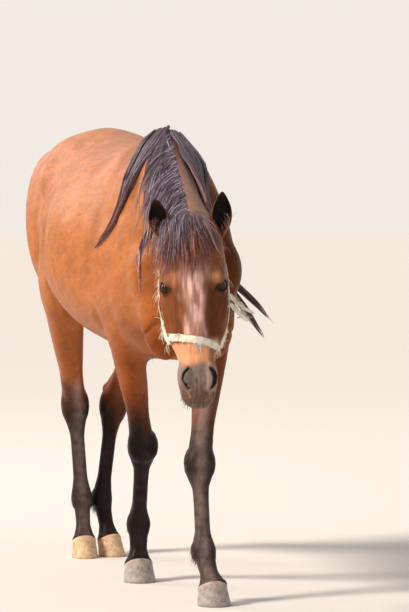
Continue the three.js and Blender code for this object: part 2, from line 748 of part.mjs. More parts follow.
// Rays that run back into the neck stop a little past the plane where the head ends.
const headRadius = (centre, direction) => {
  const towards = -direction.dot(headEnd.along);
  const room = centre.clone().sub(headEnd.centre).dot(headEnd.along) + PAST_NECK;
  const most = towards > 0 ? Math.max(1, room / towards) : Infinity;
  return Math.min(headLimit(centre, direction), most);
};
const behindHead = headEnd.centre.dot(headEnd.along) + CUT;
const trimHead = (made) => made.trimByPlane(headEnd.along.toArray(), behindHead);
const wholeHead = trimHead(solid(tube(headRings, HEAD_SEGMENTS, headRadius)));
const headGrown = solid(tube(headRings, HEAD_SEGMENTS, wider(headRadius, CUT)));
const eyeBall = (s, radius) => new THREE.SphereGeometry(radius, 10, 7).translate(...eyeCentre(s).toArray());
const socketed = [1, -1].reduce((made, s) => made.subtract(solid(eyeBall(s, EYE_RADIUS + CUT))), wholeHead);
add("head", geometryOf(socketed), FACE);
add("eye_left", geometryOf(solid(eyeBall(1, EYE_RADIUS))), EYE);
add("eye_right", geometryOf(solid(eyeBall(-1, EYE_RADIUS))), EYE);

// ---- Ears: cupped leaves ----
// Each row: share of the length, half width, depth of the cup, thickness of the wall
const EAR = [
  [0, 24, 26, 8],
  [0.16, 31, 30, 8],
  [0.38, 35, 26, 7],
  [0.62, 31, 17, 6.5],
  [0.82, 20, 9, 5],
  [0.95, 9, 4, 3.5],
  [1, 2.5, 2, 1.9],
];
const EAR_POINTS = 7;
function ear(s) {
  const base = onHead(56, s * 73, -60);
  const tip = onHead(-72 - s * 7, s * (103 - s * 3), -46);
  const axis = tip.clone().sub(base);
  const opening = headOut.clone().addScaledVector(headLeft, s * 0.35).normalize();
  const wide = new THREE.Vector3().crossVectors(axis, opening).normalize();
  const rings = EAR.map(([t, half, cup, wall]) => {
    const bow = Math.sin(Math.PI * t) * 7;
    const centre = base.clone().addScaledVector(axis, t).addScaledVector(headLeft, s * bow);
    const arc = (inset) =>
      Array.from({ length: EAR_POINTS }, (_, i) => {
        const angle = THREE.MathUtils.degToRad(-108 + (216 * i) / (EAR_POINTS - 1));
        return centre
          .clone()
          .addScaledVector(wide, (half - inset) * Math.sin(angle))
          .addScaledVector(opening, -(cup - inset) * Math.cos(angle));
      });
    return [...arc(0), ...arc(wall).reverse()];
  });
  return geometryOf(solid(skinnedFlat(rings)).subtract(headGrown));
}
add("ear_left", ear(1), FACE);
add("ear_right", ear(-1), FACE);

// ---- Long hair and tape: flattened sections along a path, laid on the body where it touches it ----
function slopeOf(field, p) {
  const h = 2;
  const near = (axis, step) => field(p.clone().addScaledVector(axis, step));
  const along = (axis) => near(axis, h) - near(axis, -h);
  return new THREE.Vector3(...[LEFT, new THREE.Vector3(0, 1, 0), UP].map(along)).divideScalar(2 * h);
}
function laidOn(field, point, lift) {
  const p = point.clone();
  for (let i = 0; i < 8; i++) {
    const slope = slopeOf(field, p);
    p.addScaledVector(slope, -(field(p) - COAT - lift) / Math.max(0.05, slope.lengthSq()));
  }
  return p;
}
// Each row: point, half width, half thickness, and how far off the form its middle lies, with none
// where it hangs free.
function pathRings(rows, samples, form, freeNormal) {
  const points = rows.map(([p, , , lift]) => (lift === undefined ? p : laidOn(form, p, lift)));
  const curve = new THREE.CatmullRomCurve3(points, false, "catmullrom", 0.5);
  const sizes = through(rows.map(([, half, thick, lift], i) => [i, half, thick, lift ?? 0]));
  return Array.from({ length: samples + 1 }, (_, k) => {
    const u = (k / samples) * (rows.length - 1);
    const [, half, thick, lift] = sizes(u);
    const free = rows[Math.floor(u)][3] === undefined || rows[Math.ceil(u)][3] === undefined;
    let centre = curve.getPoint(k / samples);
    if (!free) centre = laidOn(form, centre, lift);
    const along = curve.getTangent(k / samples);
    const normal = free ? freeNormal : slopeOf(form, centre);
    return { centre, along, facing: normal, half, thick };
  });
}
const LOCK = { samples: 8, form: torsoField, freeNormal: at(-0.3, 1, 0.2), grow: 0, sides: 6 };
function lock(rows, options = {}) {
  const { samples, form, freeNormal, grow, sides } = { ...LOCK, ...options };
  return solid(sectioned(pathRings(rows, samples, form, freeNormal), sides, grow));
}
// Rounded sections, or square ones where there are four sides.
function sectioned(rings, sides, grow = 0) {
  const points = rings.map((ring) => {
    const [front, side] = ringAxes(ring);
    return Array.from({ length: sides }, (_, j) => {
      const angle = (2 * Math.PI * (j + 0.5)) / sides;
      const size = sides === 4 ? Math.SQRT2 : 1;
      return ring.centre
        .clone()
        .addScaledVector(side, (ring.half + grow) * size * Math.cos(angle))
        .addScaledVector(front, (ring.thick + grow) * size * Math.sin(angle));
    });
  });
  return skinned(points, rings[0].centre, rings.at(-1).centre);
}

// Mane: a drape over the crest, hanging further down its right side, and locks that hang from it.
const MANE_POINTS = 8;
// Each row: slice of the neck, degrees to its left, degrees to its right, thickness
const MANE = [
  [0, 22, 32, 11],
  [1, 30, 56, 17],
  [2, 34, 68, 20],
  [3, 38, 80, 22],
  [4, 42, 90, 22],
  [5, 42, 94, 22],
  [6, 38, 90, 21],
  [7, 32, 72, 14],
];
const MANE_EDGE = 6;
function maneDrape(grow) {
  const section = ([i, left, right, thickness], shift) => {
    const ring = nudged(neckRings[i], shift);
    const [front, side] = ringAxes(ring);
    const sheet = (lift) =>
      Array.from({ length: MANE_POINTS }, (_, j) => {
        const u = j / (MANE_POINTS - 1);
        const edge = grow * ((j === 0) - (j === MANE_POINTS - 1));
        const angle = THREE.MathUtils.degToRad(left - (left + right) * u + edge);
        const direction = spoke(front, side, angle);
        const bulk = lift * (0.35 + 0.65 * Math.sin(Math.PI * Math.min(1, u * 1.1)));
        const depth = lift < 0 ? lift : Math.max(MANE_EDGE, bulk) + grow;
        return ring.centre.clone().addScaledVector(direction, neckRadius(ring.centre, direction) + depth);
      });
    return [...sheet(thickness), ...sheet(-8).reverse()];
  };
  const rings = MANE.map((row) => section(row, 0));
  if (grow > 0) {
    rings.unshift(section(MANE[0], -grow));
    rings.push(section(MANE.at(-1), grow));
  }
  return solid(skinnedFlat(rings));
}
// Cuts away what else stands where a piece is to lie, and keeps its largest piece.
function fitted(piece, ...others) {
  return geometryOf(others.reduce((left, other) => left.subtract(other), piece));
}
const bodyGrown = [torsoGrown, headGrown];
add("mane", fitted(maneDrape(0), ...bodyGrown), LONG_HAIR);
const maneGrown = maneDrape(2 * CUT);

// Locks of hair. Each row: point, half width, half thickness, and how far off the body its middle lies.
const LOCKS = {
  mane_shoulder_lock: [
    [at(-4, 30, 1480), 20, 8, 6],
    [at(-56, 74, 1430), 30, 10, 7],
    [at(-110, 102, 1342), 32, 10, 7],
    [at(-156, 98, 1262), 26, 9, 7],
    [at(-192, 45, 1180), 17, 8, 6],
    [at(-219, -50, 1098), 4, 4, 5],
  ],
  mane_left_lock: [
    [at(22, 60, 1472), 12, 7, 6],
    [at(58, 180, 1420), 20, 9, 7],
    [at(62, 340, 1345), 26, 10, 8],
    [at(42, 500, 1290), 24, 9, 8],
    [at(14, 640, 1225), 8, 5, 6],
  ],
  mane_right_lock: [
    [at(-132, 440, 1290), 24, 9, 9],
    [at(-168, 468, 1215), 25, 10, 14],
    [at(-192, 490, 1130), 20, 9],
    [at(-200, 512, 1050), 13, 7],
    [at(-202, 528, 980), 3, 3],
  ],
};
const hair = {};
for (const [name, rows] of Object.entries(LOCKS)) {
  const made = lock(rows);
  add(name, fitted(made, ...bodyGrown, maneGrown), LONG_HAIR);
  hair[name] = made;
}

// Forelock: falls from between the ears over the forehead.
const FORELOCK = [
  [onHead(-8, 4, -46), 34, 9, 4],
  [onHead(30, 2, 0), 56, 14, 8],
  [onHead(80, -6, 12), 60, 13, 7],
  [onHead(125, -12, 12), 46, 10, 5],
  [onHead(165, -16, 10), 27, 7, 4],
  [onHead(200, -18, 10), 6, 3, 3],
];
add("forelock", fitted(lock(FORELOCK, { form: headField, samples: 10, sides: 10 }), headGrown), LONG_HAIR);

// Tail: it swings to the horse's left, and two thin locks end it.
const TAIL = [
  [at(0, -1120, 1352), 34, 34],
  [at(32, -1212, 1300), 44, 42],
  [at(110, -1268, 1232), 54, 50],
  [at(215, -1272, 1158), 56, 50],
  [at(322, -1232, 1090), 48, 42],
  [at(415, -1165, 1025), 36, 32],
  [at(482, -1100, 968), 26, 22],
];
const TAIL_SPLITS = [0, 4, 8, 12];
function tail() {
  const rings = pathRings(TAIL, TAIL_SPLITS.at(-1), torsoField, at(0, 1, 0.3));
  TAIL_SPLITS.slice(1).forEach((end, i) => {
    const piece = rings.slice(TAIL_SPLITS[i], end + 1);
    if (i > 0) piece[0] = nudged(piece[0], CUT);
    const made = solid(sectioned(piece, 10));
    const name = ["tail_dock", "tail_middle", "tail_end"][i];
    add(name, i === 0 ? fitted(made, torsoGrown) : geometryOf(made), LONG_HAIR);
  });
  return solid(sectioned([...rings, nudged(rings.at(-1), 2 * CUT)], 10, CUT));
}
const tailGrown = tail();
const TAIL_LOCKS = {
  tail_lock_upper: [
    [at(487, -1096, 976), 10, 10],
    [at(568, -1045, 888), 11, 8],
    [at(634, -1010, 803), 3, 3],
  ],
  tail_lock_lower: [
    [at(485, -1096, 950), 10, 10],
    [at(540, -1060, 858), 11, 8],
    [at(618, -1035, 738), 3, 3],
  ],
};
for (const [name, rows] of Object.entries(TAIL_LOCKS)) {
  add(name, fitted(lock(rows, { samples: 6, sides: 6, freeNormal: at(0, 1, 0.3) }), tailGrown), LONG_HAIR);
}

// ---- Halter of frayed tape ----
const TAPE_HALF = 11;
const TAPE_THICK = 2.5;
const BAND_POINTS = 20;
// The noseband droops towards the horse's left, and dips behind the chin.
function noseHeight(angle) {
  const left = Math.sin(angle);
  return 370 + 8 * left + 20 * Math.max(0, left) ** 3 + 6 * Math.cos(angle);
}
function noseband(grow) {
  const rings = Array.from({ length: BAND_POINTS }, (_, j) => {
    const angle = (2 * Math.PI * j) / BAND_POINTS;
    const centre = headCentre(noseHeight(angle));
    const direction = spoke(headOut, headLeft, angle);
    const surface = centre.clone().addScaledVector(direction, headLimit(centre, direction) + 1.5);
    const corner = (a, b) =>
      surface
        .clone()
        .addScaledVector(headDown, a * (TAPE_HALF + grow))
        .addScaledVector(direction, b * (TAPE_THICK + grow) + 0.5);
    return [corner(-1, 1), corner(1, 1), corner(1, -1), corner(-1, -1)];
  });
  return solid(closed(rings.flat(), walls(BAND_POINTS, 4, true)));
}
const band = noseband(CUT);
add("halter_noseband", fitted(noseband(0), headGrown), TAPE);

// Each row: point on the head, half width, half thickness, lift. They run up both cheeks and over the poll.
const STRAPS = {
  halter_cheek_right: [
    [onHead(378, -82, -82), 8, 2.2, 2],
    [onHead(330, -94, -84), 8, 2.2, 2],
    [onHead(270, -106, -94), 8, 2.2, 2],
    [onHead(200, -112, -106), 8, 2.2, 2],
    [onHead(130, -104, -120), 8, 2.2, 2],
  ],
  halter_cheek_left: [
    [onHead(396, 78, -84), 7, 2.2, 2],
    [onHead(340, 90, -86), 7, 2.2, 2],
    [onHead(275, 104, -96), 7, 2.2, 2],
    [onHead(200, 112, -106), 7, 2.2, 2],
    [onHead(130, 104, -120), 7, 2.2, 2],
  ],
  halter_crown: [
    [onHead(122, -104, -121), 8, 2.2, 2],
    [onHead(70, -98, -118), 8, 2.2, 2],
    [onHead(20, -80, -112), 8, 2.2, 3],
    [onHead(-14, -38, -98), 8, 2.2, 3],
    [onHead(-20, 0, -92), 8, 2.2, 3],
    [onHead(-14, 38, -98), 8, 2.2, 3],
    [onHead(20, 80, -112), 8, 2.2, 3],
    [onHead(70, 98, -118), 8, 2.2, 2],
    [onHead(122, 104, -121), 8, 2.2, 2],
  ],
  halter_end_upper: [
    [onHead(236, 108, -66), 5, 2],
    [onHead(254, 124, -72), 6, 2],
    [onHead(275, 148, -80), 6, 2],
    [onHead(294, 180, -86), 6, 2],
  ],
  halter_end_lower: [
    [onHead(262, 107, -68), 6, 2],
    [onHead(288, 130, -76), 7, 2],
    [onHead(316, 160, -82), 7, 2],
  ],
};
const worn = [headGrown, torsoGrown, maneGrown, band];
for (const [name, rows] of Object.entries(STRAPS)) {
  const samples = Math.min(12, 2 * rows.length - 2);
  const how = { form: headField, samples, sides: 4, freeNormal: headOut };
  add(name, fitted(lock(rows, how), ...worn), TAPE);
  worn.push(lock(rows, { ...how, grow: CUT }));
}

// Put the middle of the horse's own box over the origin, with its hooves on the ground.
const box = new THREE.Box3().setFromObject(root);
const middle = box.getCenter(new THREE.Vector3());
root.position.set(-middle.x, -middle.y, -box.min.z);
root.updateMatrixWorld(true);

export default root;
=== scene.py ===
"""A bay horse at a walk, life size, in a frayed tape halter, as a Blender add-on.

One skin is drawn over a distance field of lofted sections and muscles, the same that the solids follow.
Short tufts lie on it where the coat breaks the form, and the long hair, eyes, hooves and tape are pieces
of their own. Sizes of the horse are millimetres in its own frame: side (its left is +), ahead and up.
"""

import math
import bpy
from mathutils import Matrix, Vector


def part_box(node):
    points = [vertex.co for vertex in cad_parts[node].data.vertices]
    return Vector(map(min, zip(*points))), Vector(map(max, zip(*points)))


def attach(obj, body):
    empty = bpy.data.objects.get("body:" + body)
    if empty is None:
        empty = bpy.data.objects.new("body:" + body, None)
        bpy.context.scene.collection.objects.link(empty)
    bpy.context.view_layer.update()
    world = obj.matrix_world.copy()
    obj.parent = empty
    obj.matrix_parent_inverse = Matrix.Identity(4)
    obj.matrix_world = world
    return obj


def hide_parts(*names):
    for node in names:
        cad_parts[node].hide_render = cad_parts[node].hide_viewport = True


bl_info = {
    "name": "Bay Horse",
    "version": (1, 0, 0),
    "blender": (4, 5, 0),
    "location": "3D View > Sidebar > Horse",
    "description": "Dresses the solids of a walking bay horse with skin, coat, long hair and halter",
    "category": "Object",
}

import bmesh
import bpy
import numpy as np
from bpy.props import FloatProperty, FloatVectorProperty, PointerProperty
from bpy.types import Operator, Panel, PropertyGroup
from mathutils import Vector

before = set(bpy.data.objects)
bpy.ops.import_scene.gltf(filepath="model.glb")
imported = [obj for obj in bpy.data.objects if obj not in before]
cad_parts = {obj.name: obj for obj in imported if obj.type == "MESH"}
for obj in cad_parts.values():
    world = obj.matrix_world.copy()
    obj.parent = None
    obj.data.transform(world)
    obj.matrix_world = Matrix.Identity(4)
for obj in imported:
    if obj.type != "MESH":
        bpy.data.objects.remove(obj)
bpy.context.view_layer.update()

# ---- Driving dimensions ----
COAT = 3.0  # the coat's depth: the skin lies this far inside the solids
NECK_TURN = math.radians(14)
HEAD_TILT = math.radians(11)
HEAD_ROLL = math.radians(2.5)
FAR = 1e3


def at(side, ahead, up):
    return np.array([side, -ahead, up], float)


def unit(v):
    return v / np.linalg.norm(v, axis=-1, keepdims=True)


AHEAD, UP = at(0, 1, 0), at(0, 0, 1)

# ---- Pose: the joints of each leg, and the poll ----
POLL = at(-92, 720, 1228)


class Leg:
    """A leg: its joints from the top down, the way that its toe points, and its share of dust and painted
    sheen.
    """

    def __init__(self, sign, joints, toe_out, dust):
        self.sign, self.dust = sign, dust
        self.upper, self.lower, *knee, self.fetlock, self.hoof = (at(*joint) for joint in joints)
        self.knee = knee[0] if knee else self.lower
        self.line = [self.lower, self.knee, self.fetlock, self.hoof]
        turn = math.radians(toe_out) * sign
        self.toe = at(math.sin(turn), math.cos(turn), 0)
        self.coronet = self.hoof - 20 * self.toe + 60 * UP
        # The coronet slopes down to the heel by 25 degrees
        self.coronet_slope = 0.907 * self.toe + 0.42 * UP
        self.coronet_normal = 0.907 * UP - 0.42 * self.toe


# Joints: shoulder, elbow, knee, fetlock and hoof
FORELEGS = {
    "left": Leg(1, [(128, 290, 1045), (122, 112, 848), (53, 245, 433), (44, 335, 165), (62, 402, 0)], 4, 0.5),
    "right": Leg(
        -1, [(-128, 266, 1040), (-115, -45, 852), (-32, -185, 455), (-17, -308, 186), (-24, -262, 0)], 2, 0.06
    ),
}
# Joints: stifle, hock, fetlock and hoof
HINDLEGS = {
    "left": Leg(1, [(158, -800, 925), (78, -1114, 528), (33, -1098, 194), (52, -1024, 0)], 18, 0.1),
    "right": Leg(-1, [(-165, -790, 930), (-60, -1112, 528), (-45, -1068, 200), (-49, -1000, 0)], 3, 0.4),
}
LEGS = [*FORELEGS.values(), *HINDLEGS.values()]

# ---- Section tables, each row read at its first number ----
# Trunk: ahead, half width, top, bottom, height of the widest, fullness above, fullness below
TRUNK = [
    [385, 30, 1080, 1000, 1040, 2, 2],
    [360, 85, 1130, 950, 1040, 2, 2],
    [310, 135, 1215, 880, 1045, 2, 2.1],
    [220, 170, 1345, 792, 1050, 1.8, 2.2],
    [110, 199, 1440, 752, 1060, 1.5, 2.2],
    [20, 213, 1492, 740, 1070, 1.3, 2.2],
    [-60, 230, 1492, 742, 1075, 1.45, 2.1],
    [-160, 250, 1468, 752, 1080, 1.6, 2.1],
    [-300, 280, 1438, 768, 1085, 1.8, 2.1],
    [-450, 296, 1430, 785, 1090, 1.95, 2.1],
    [-600, 288, 1446, 815, 1105, 2.0, 2.1],
    [-730, 262, 1474, 862, 1140, 2.1, 2.0],
    [-840, 244, 1494, 915, 1180, 2.0, 2.0],
    [-940, 232, 1488, 960, 1200, 1.95, 2.0],
    [-1030, 205, 1455, 1000, 1210, 1.95, 2.0],
    [-1100, 165, 1405, 1050, 1215, 2.1, 2.0],
    [-1150, 105, 1340, 1110, 1220, 2, 2],
    [-1172, 40, 1270, 1170, 1220, 2, 2],
]
# Neck: share of the way from withers to poll, half width, crest, throat, fullness above, fullness below
NECK = [
    [-0.25, 120, 200, 300, 1.5, 2.0],
    [0, 116, 218, 290, 1.5, 2.0],
    [0.25, 102, 190, 236, 1.6, 2.0],
    [0.5, 86, 162, 188, 1.7, 2.1],
    [0.75, 74, 134, 152, 1.8, 2.1],
    [1.0, 68, 108, 126, 1.9, 2.1],
    [1.15, 58, 86, 100, 2, 2],
]
# Head: distance below the poll, half width, forehead line, jaw line, depth of the widest,
# fullness before and behind
HEAD = [
    [-14, 34, -52, -112, -80, 2, 2],
    [8, 68, -26, -150, -78, 2.2, 2],
    [50, 86, -6, -186, -76, 2.4, 1.9],
    [110, 96, 8, -226, -72, 2.5, 1.8],
    [170, 100, 9, -250, -68, 2.25, 1.7],
    [215, 101, 5, -252, -70, 1.95, 1.7],
    [262, 96, -2, -236, -78, 1.75, 1.8],
    [310, 91, -8, -212, -86, 1.55, 1.9],
    [345, 84, -12, -192, -88, 1.5, 1.9],
    [378, 74, -14, -174, -86, 1.55, 2],
    [405, 64, -16, -160, -84, 1.7, 2],
    [435, 55, -19, -150, -82, 2.0, 2.1],
    [470, 53, -22, -143, -80, 2.3, 2.2],
    [505, 55, -29, -141, -84, 2.4, 2.3],
    [535, 52, -40, -138, -90, 2.3, 2.2],
    [560, 40, -58, -128, -95, 2.1, 2.1],
    [573, 22, -76, -114, -96, 2, 2],
]
# Legs: share of the bone, outer half width, inner half width, front, back
FOREARM = [
    [-0.3, 40, 45, 55, 70],
    [-0.12, 60, 56, 82, 96],
    [0.05, 62, 54, 82, 98],
    [0.25, 57, 50, 70, 76],
    [0.5, 46, 41, 54, 50],
    [0.75, 36, 34, 42, 38],
    [0.9, 38, 38, 40, 37],
    [1.0, 45, 45, 43, 40],
    [1.06, 40, 40, 38, 34],
]
FORE_CANNON = [
    [-0.14, 38, 38, 36, 32],
    [-0.05, 46, 46, 43, 42],
    [0.06, 46, 46, 42, 43],
    [0.16, 38, 38, 34, 41],
    [0.3, 26, 26, 27, 37],
    [0.5, 24, 24, 25, 36],
    [0.75, 24, 24, 25, 36],
    [0.88, 30, 30, 29, 39],
    [1.0, 36, 36, 34, 42],
    [1.08, 33, 33, 31, 38],
]
PASTERN = [
    [-0.2, 30, 30, 30, 34],
    [0, 35, 35, 34, 42],
    [0.3, 30, 30, 29, 35],
    [0.6, 28, 28, 28, 31],
    [0.85, 36, 36, 34, 38],
    [1.0, 46, 46, 44, 44],
    [1.15, 48, 48, 48, 46],
]
GASKIN = [
    [-0.25, 60, 60, 70, 130],
    [0, 68, 62, 82, 150],
    [0.25, 62, 54, 72, 118],
    [0.5, 51, 44, 58, 82],
    [0.75, 39, 36, 44, 60],
    [0.92, 38, 38, 42, 58],
    [1.05, 36, 36, 38, 48],
]
HIND_CANNON = [
    [-0.14, 38, 38, 38, 46],
    [-0.03, 45, 45, 43, 52],
    [0.08, 43, 43, 40, 50],
    [0.2, 33, 33, 32, 44],
    [0.38, 24, 24, 26, 38],
    [0.75, 24, 24, 26, 37],
    [0.88, 29, 29, 30, 41],
    [1.0, 33, 33, 34, 43],
    [1.08, 31, 31, 32, 40],
]
FORE_PASTERN_GIRTH = 1.0
HIND_PASTERN_GIRTH = 0.88


# ---- Distance fields: each takes points in rows and returns how far they lie outside a form ----
def through(rows):
    """Reads rows of numbers as smooth curves of their first column that never overshoot a row."""
    y = np.array(sorted(rows), float)
    x = y[:, 0]
    h = np.diff(x)
    rise = np.diff(y, axis=0) / h[:, None]
    before, after = (2 * h[1:] + h[:-1])[:, None], (h[1:] + 2 * h[:-1])[:, None]
    slopes = np.vstack([rise[0], np.zeros_like(rise[1:]), rise[-1]])
    same_way = rise[:-1] * rise[1:] > 0
    safe = [np.where(same_way, r, 1) for r in (rise[:-1], rise[1:])]
    slopes[1:-1] = np.where(same_way, (before + after) / (before / safe[0] + after / safe[1]), 0)

    def read(t):
        i = np.clip(np.searchsorted(x, t, side="right") - 1, 0, len(h) - 1)
        u = np.clip((t - x[i]) / h[i], 0, 1)
        bend = h[i] * slopes[i].T * u * (1 - u) ** 2 + h[i] * slopes[i + 1].T * u * u * (u - 1)
        return y[i].T * (1 + 2 * u) * (1 - u) ** 2 + y[i + 1].T * u * u * (3 - 2 * u) + bend

    return read


def outside_section(x, y, a, b, n):
    """How far points lie outside a rounded section: an ellipse at n = 2, and fuller above that."""
    u, v = np.abs(x) / a, np.abs(y) / b
    q = np.maximum((u**n + v**n) ** (1 / n), 1e-6)
    slope = np.hypot((u / q) ** (n - 1) / a, (v / q) ** (n - 1) / b)
    return np.maximum((q - 1) / np.maximum(slope, 1e-9), -np.maximum(a, b))


def loft(start, along, facing, reach, section):
    """A form along a straight line. section(t) gives left, right, before, behind, middle and fullnesses."""
    line = unit(along)
    front = unit(facing - line * (facing @ line))
    side = np.cross(front, line)

    def field(p):
        d = p - start
        t = d @ line
        left, right, before, behind, mid, n, n_behind = section(np.clip(t, *reach))
        x, y = d @ side, d @ front - mid
        sizes = np.where(x > 0, left, right), np.where(y > 0, before, behind)
        out = outside_section(x, y, *sizes, np.where(y > 0, n, n_behind))
        past = np.maximum(reach[0] - t, t - reach[1])
        return np.where(past <= 0, out, np.where(out > 0, np.hypot(out, past), past))

    return field


def lump(centre, along, facing, length, width, thickness):
    """A muscle or bone end: an ellipsoid, long one way and with its thickness facing another."""
    a = unit(along)
    f = unit(facing - a * (facing @ a))
    axes = np.stack([a / length, np.cross(a, f) / width, f / thickness], axis=1)
    sizes = np.array([length, width, thickness])

    def field(p):
        q = (p - centre) @ axes
        k = np.maximum(np.linalg.norm(q, axis=1), 1e-6)
        return k * (k - 1) / np.maximum(np.linalg.norm(q / sizes, axis=1), 1e-9)

    return near(centre, max(sizes) + 120, field)


def near(centre, radius, field):
    """Reads a field only within a distance of its centre, as it changes nothing further off."""

    def read(p):
        far = np.linalg.norm(p - centre, axis=1) - radius
        out = far + 100
        close = far < 0
        if close.any():
            out[close] = field(p[close])
        return out

    return read


def rod(a, b, radius_a, radius_b):
    line = b - a

    def field(p):
        t = np.clip((p - a) @ line / (line @ line), 0, 1)
        return np.linalg.norm(p - a - t[:, None] * line, axis=1) - radius_a - (radius_b - radius_a) * t

    return field


def soft_min(a, b, k):
    """The lesser of two distances, with the corner between them rounded over a width."""
    h = np.maximum(k - np.abs(a - b), 0)
    return np.minimum(a, b) - h * h / (4 * k)


def join(k, *fields):
    def field(p):
        out = fields[0](p)
        for other in fields[1:]:
            out = soft_min(out, other(p), k)
        return out

    return field


def carve(k, form, *cuts):
    def field(p):
        out = form(p)
        for cut in cuts:
            out = -soft_min(-out, cut(p), k)
        return out

    return field


def both_sides(make):
    return [make(1), make(-1)]


# ---- Trunk, with the muscles of shoulder, breast and quarters ----
read_trunk = through(TRUNK)


def trunk_section(t):
    _, half, top, bottom, mid, n, n_behind = read_trunk(t)
    return half, half, top - mid, mid - bottom, mid, n, n_behind


barrel = loft(at(0, 0, 0), AHEAD, UP, (TRUNK[-1][0], TRUNK[0][0]), trunk_section)


def shoulder_muscles(leg):
    s, shoulder, elbow = leg.sign, leg.upper, leg.lower
    out = at(s, 0.1, 0.15)
    blade_top = at(s * 50, 0, 1430)
    blade_mid = (blade_top + shoulder) / 2 + at(s * 14, 0, 0)
    arm_mid = (shoulder + elbow) / 2
    return join(
        24,
        lump(blade_mid, shoulder - blade_top, out, 240, 100, 46),
        lump(shoulder, UP, out, 84, 68, 50),
        lump(arm_mid + at(s * 6, -14, 20), elbow - shoulder, out, 150, 86, 50),
        lump(elbow + at(s * 10, -38, 130), at(0, 0.5, 1), out, 145, 98, 54),
    )


breast = both_sides(lambda s: lump(at(s * 72, 298, 920), at(0, -0.25, 1), at(s, 1, 0), 160, 82, 78))
brisket = lump(at(0, 150, 800), AHEAD, UP, 190, 105, 66)


def quarter_muscles(leg):
    s = leg.sign
    out = at(s, 0, 0.2)
    return join(
        34,
        lump(at(s * 118, -880, 1358), AHEAD, at(s, 0, 1), 210, 118, 88),
        lump(at(s * 218, -772, 1322), at(0, 1, 0.4), out, 52, 60, 40),
        lump(at(s * 158, -985, 1165), at(0, 0.35, -1), out, 250, 165, 92),
        lump(at(s * 108, -1090, 1150), at(0, 0.1, 1), at(s * 0.5, -1, 0), 230, 92, 78),
        lump(leg.upper + at(s * -8, -40, 60), at(0, 0.5, -1), out, 165, 120, 72),
    )


# ---- Legs ----
def bone(start, end, sign, rows, facing=AHEAD):
    length = np.linalg.norm(end - start)
    read = through(rows)

    def section(t):
        _, outer, inner, before, behind = read(t / length)
        left, right = (outer, inner) if sign > 0 else (inner, outer)
        return left, right, before, behind, 0 * t, 2.2 + 0 * t, 2.2 + 0 * t

    reach = (rows[0][0] * length, rows[-1][0] * length)
    return near((start + end) / 2, 0.5 * length + 260, loft(start, end - start, facing, reach, section))


def lower_leg(leg, girth):
    slimmer = [[t, *(v * girth for v in sizes)] for t, *sizes in PASTERN]
    return join(
        12,
        bone(leg.fetlock, leg.coronet, leg.sign, slimmer, leg.toe),
        lump(leg.fetlock - 22 * leg.toe + at(0, 0, -4), UP, leg.toe, 34, 29, 26),
    )


def foreleg(leg):
    s, elbow, knee = leg.sign, leg.lower, leg.knee
    return join(
        14,
        bone(elbow, knee, s, FOREARM),
        bone(knee, leg.fetlock, s, FORE_CANNON),
        lump(elbow + at(s * 8, -88, 32), UP, AHEAD, 62, 34, 42),
        lump(knee + at(0, 8, 2), UP, AHEAD, 54, 46, 38),
        lump(knee + at(s * 6, -40, 22), UP, AHEAD, 28, 15, 20),
        lower_leg(leg, FORE_PASTERN_GIRTH),
    )


def hindleg(leg):
    stifle, hock = leg.upper, leg.lower
    point = hock + at(0, -66, 46)
    return join(
        14,
        bone(stifle, hock, leg.sign, GASKIN),
        bone(hock, leg.fetlock, leg.sign, HIND_CANNON),
        lump(hock + at(0, 6, -6), UP, AHEAD, 66, 46, 46),
        rod(hock + at(0, -40, -40), point, 28, 21),
        rod(point, stifle + 0.62 * (hock - stifle) + at(0, -62, 0), 19, 16),
        lower_leg(leg, HIND_PASTERN_GIRTH),
    )


# ---- Neck ----
NECK_BASE = at(0, 40, 1250)
NECK_END = at(-56, 602, 1152)
neck_length = np.linalg.norm(NECK_END - NECK_BASE)
read_neck = through(NECK)


def neck_section(t):
    _, half, before, behind, n, n_behind = read_neck(t / neck_length)
    return half, half, before, behind, 0 * t, n, n_behind


neck_reach = (NECK[0][0] * neck_length, NECK[-1][0] * neck_length)
neck_form = loft(NECK_BASE, NECK_END - NECK_BASE, UP, neck_reach, neck_section)
neck_field = near((NECK_BASE + NECK_END) / 2, 850, neck_form)

# ---- Head, in a frame of its own: down the face, to its left, and out of the face ----
head_left = unit(at(math.cos(NECK_TURN), math.sin(NECK_TURN), math.tan(HEAD_ROLL)))
straight_out = at(-math.sin(NECK_TURN), math.cos(NECK_TURN), 0)
straight_down = unit(np.cross(head_left, straight_out))
head_down = math.cos(HEAD_TILT) * straight_down + math.sin(HEAD_TILT) * straight_out
head_out = math.cos(HEAD_TILT) * straight_out - math.sin(HEAD_TILT) * straight_down


def on_head(down, left, out):
    return POLL + down * head_down + left * head_left + out * head_out


def head_place(p):
    """Where points lie on the head: distance down from the poll, to its left, and out of the face."""
    d = p - POLL
    return d @ head_down, d @ head_left, d @ head_out


read_head = through(HEAD)


def head_section(t):
    _, half, before, behind, mid, n, n_behind = read_head(t)
    return half, half, before - mid, mid - behind, mid, n, n_behind


EYE_RADIUS = 21.0
LID_RADIUS = 24.5
skull = loft(POLL, head_down, head_out, (HEAD[0][0], HEAD[-1][0]), head_section)


def eye_centre(s):
    return on_head(212, s * 79, -43)


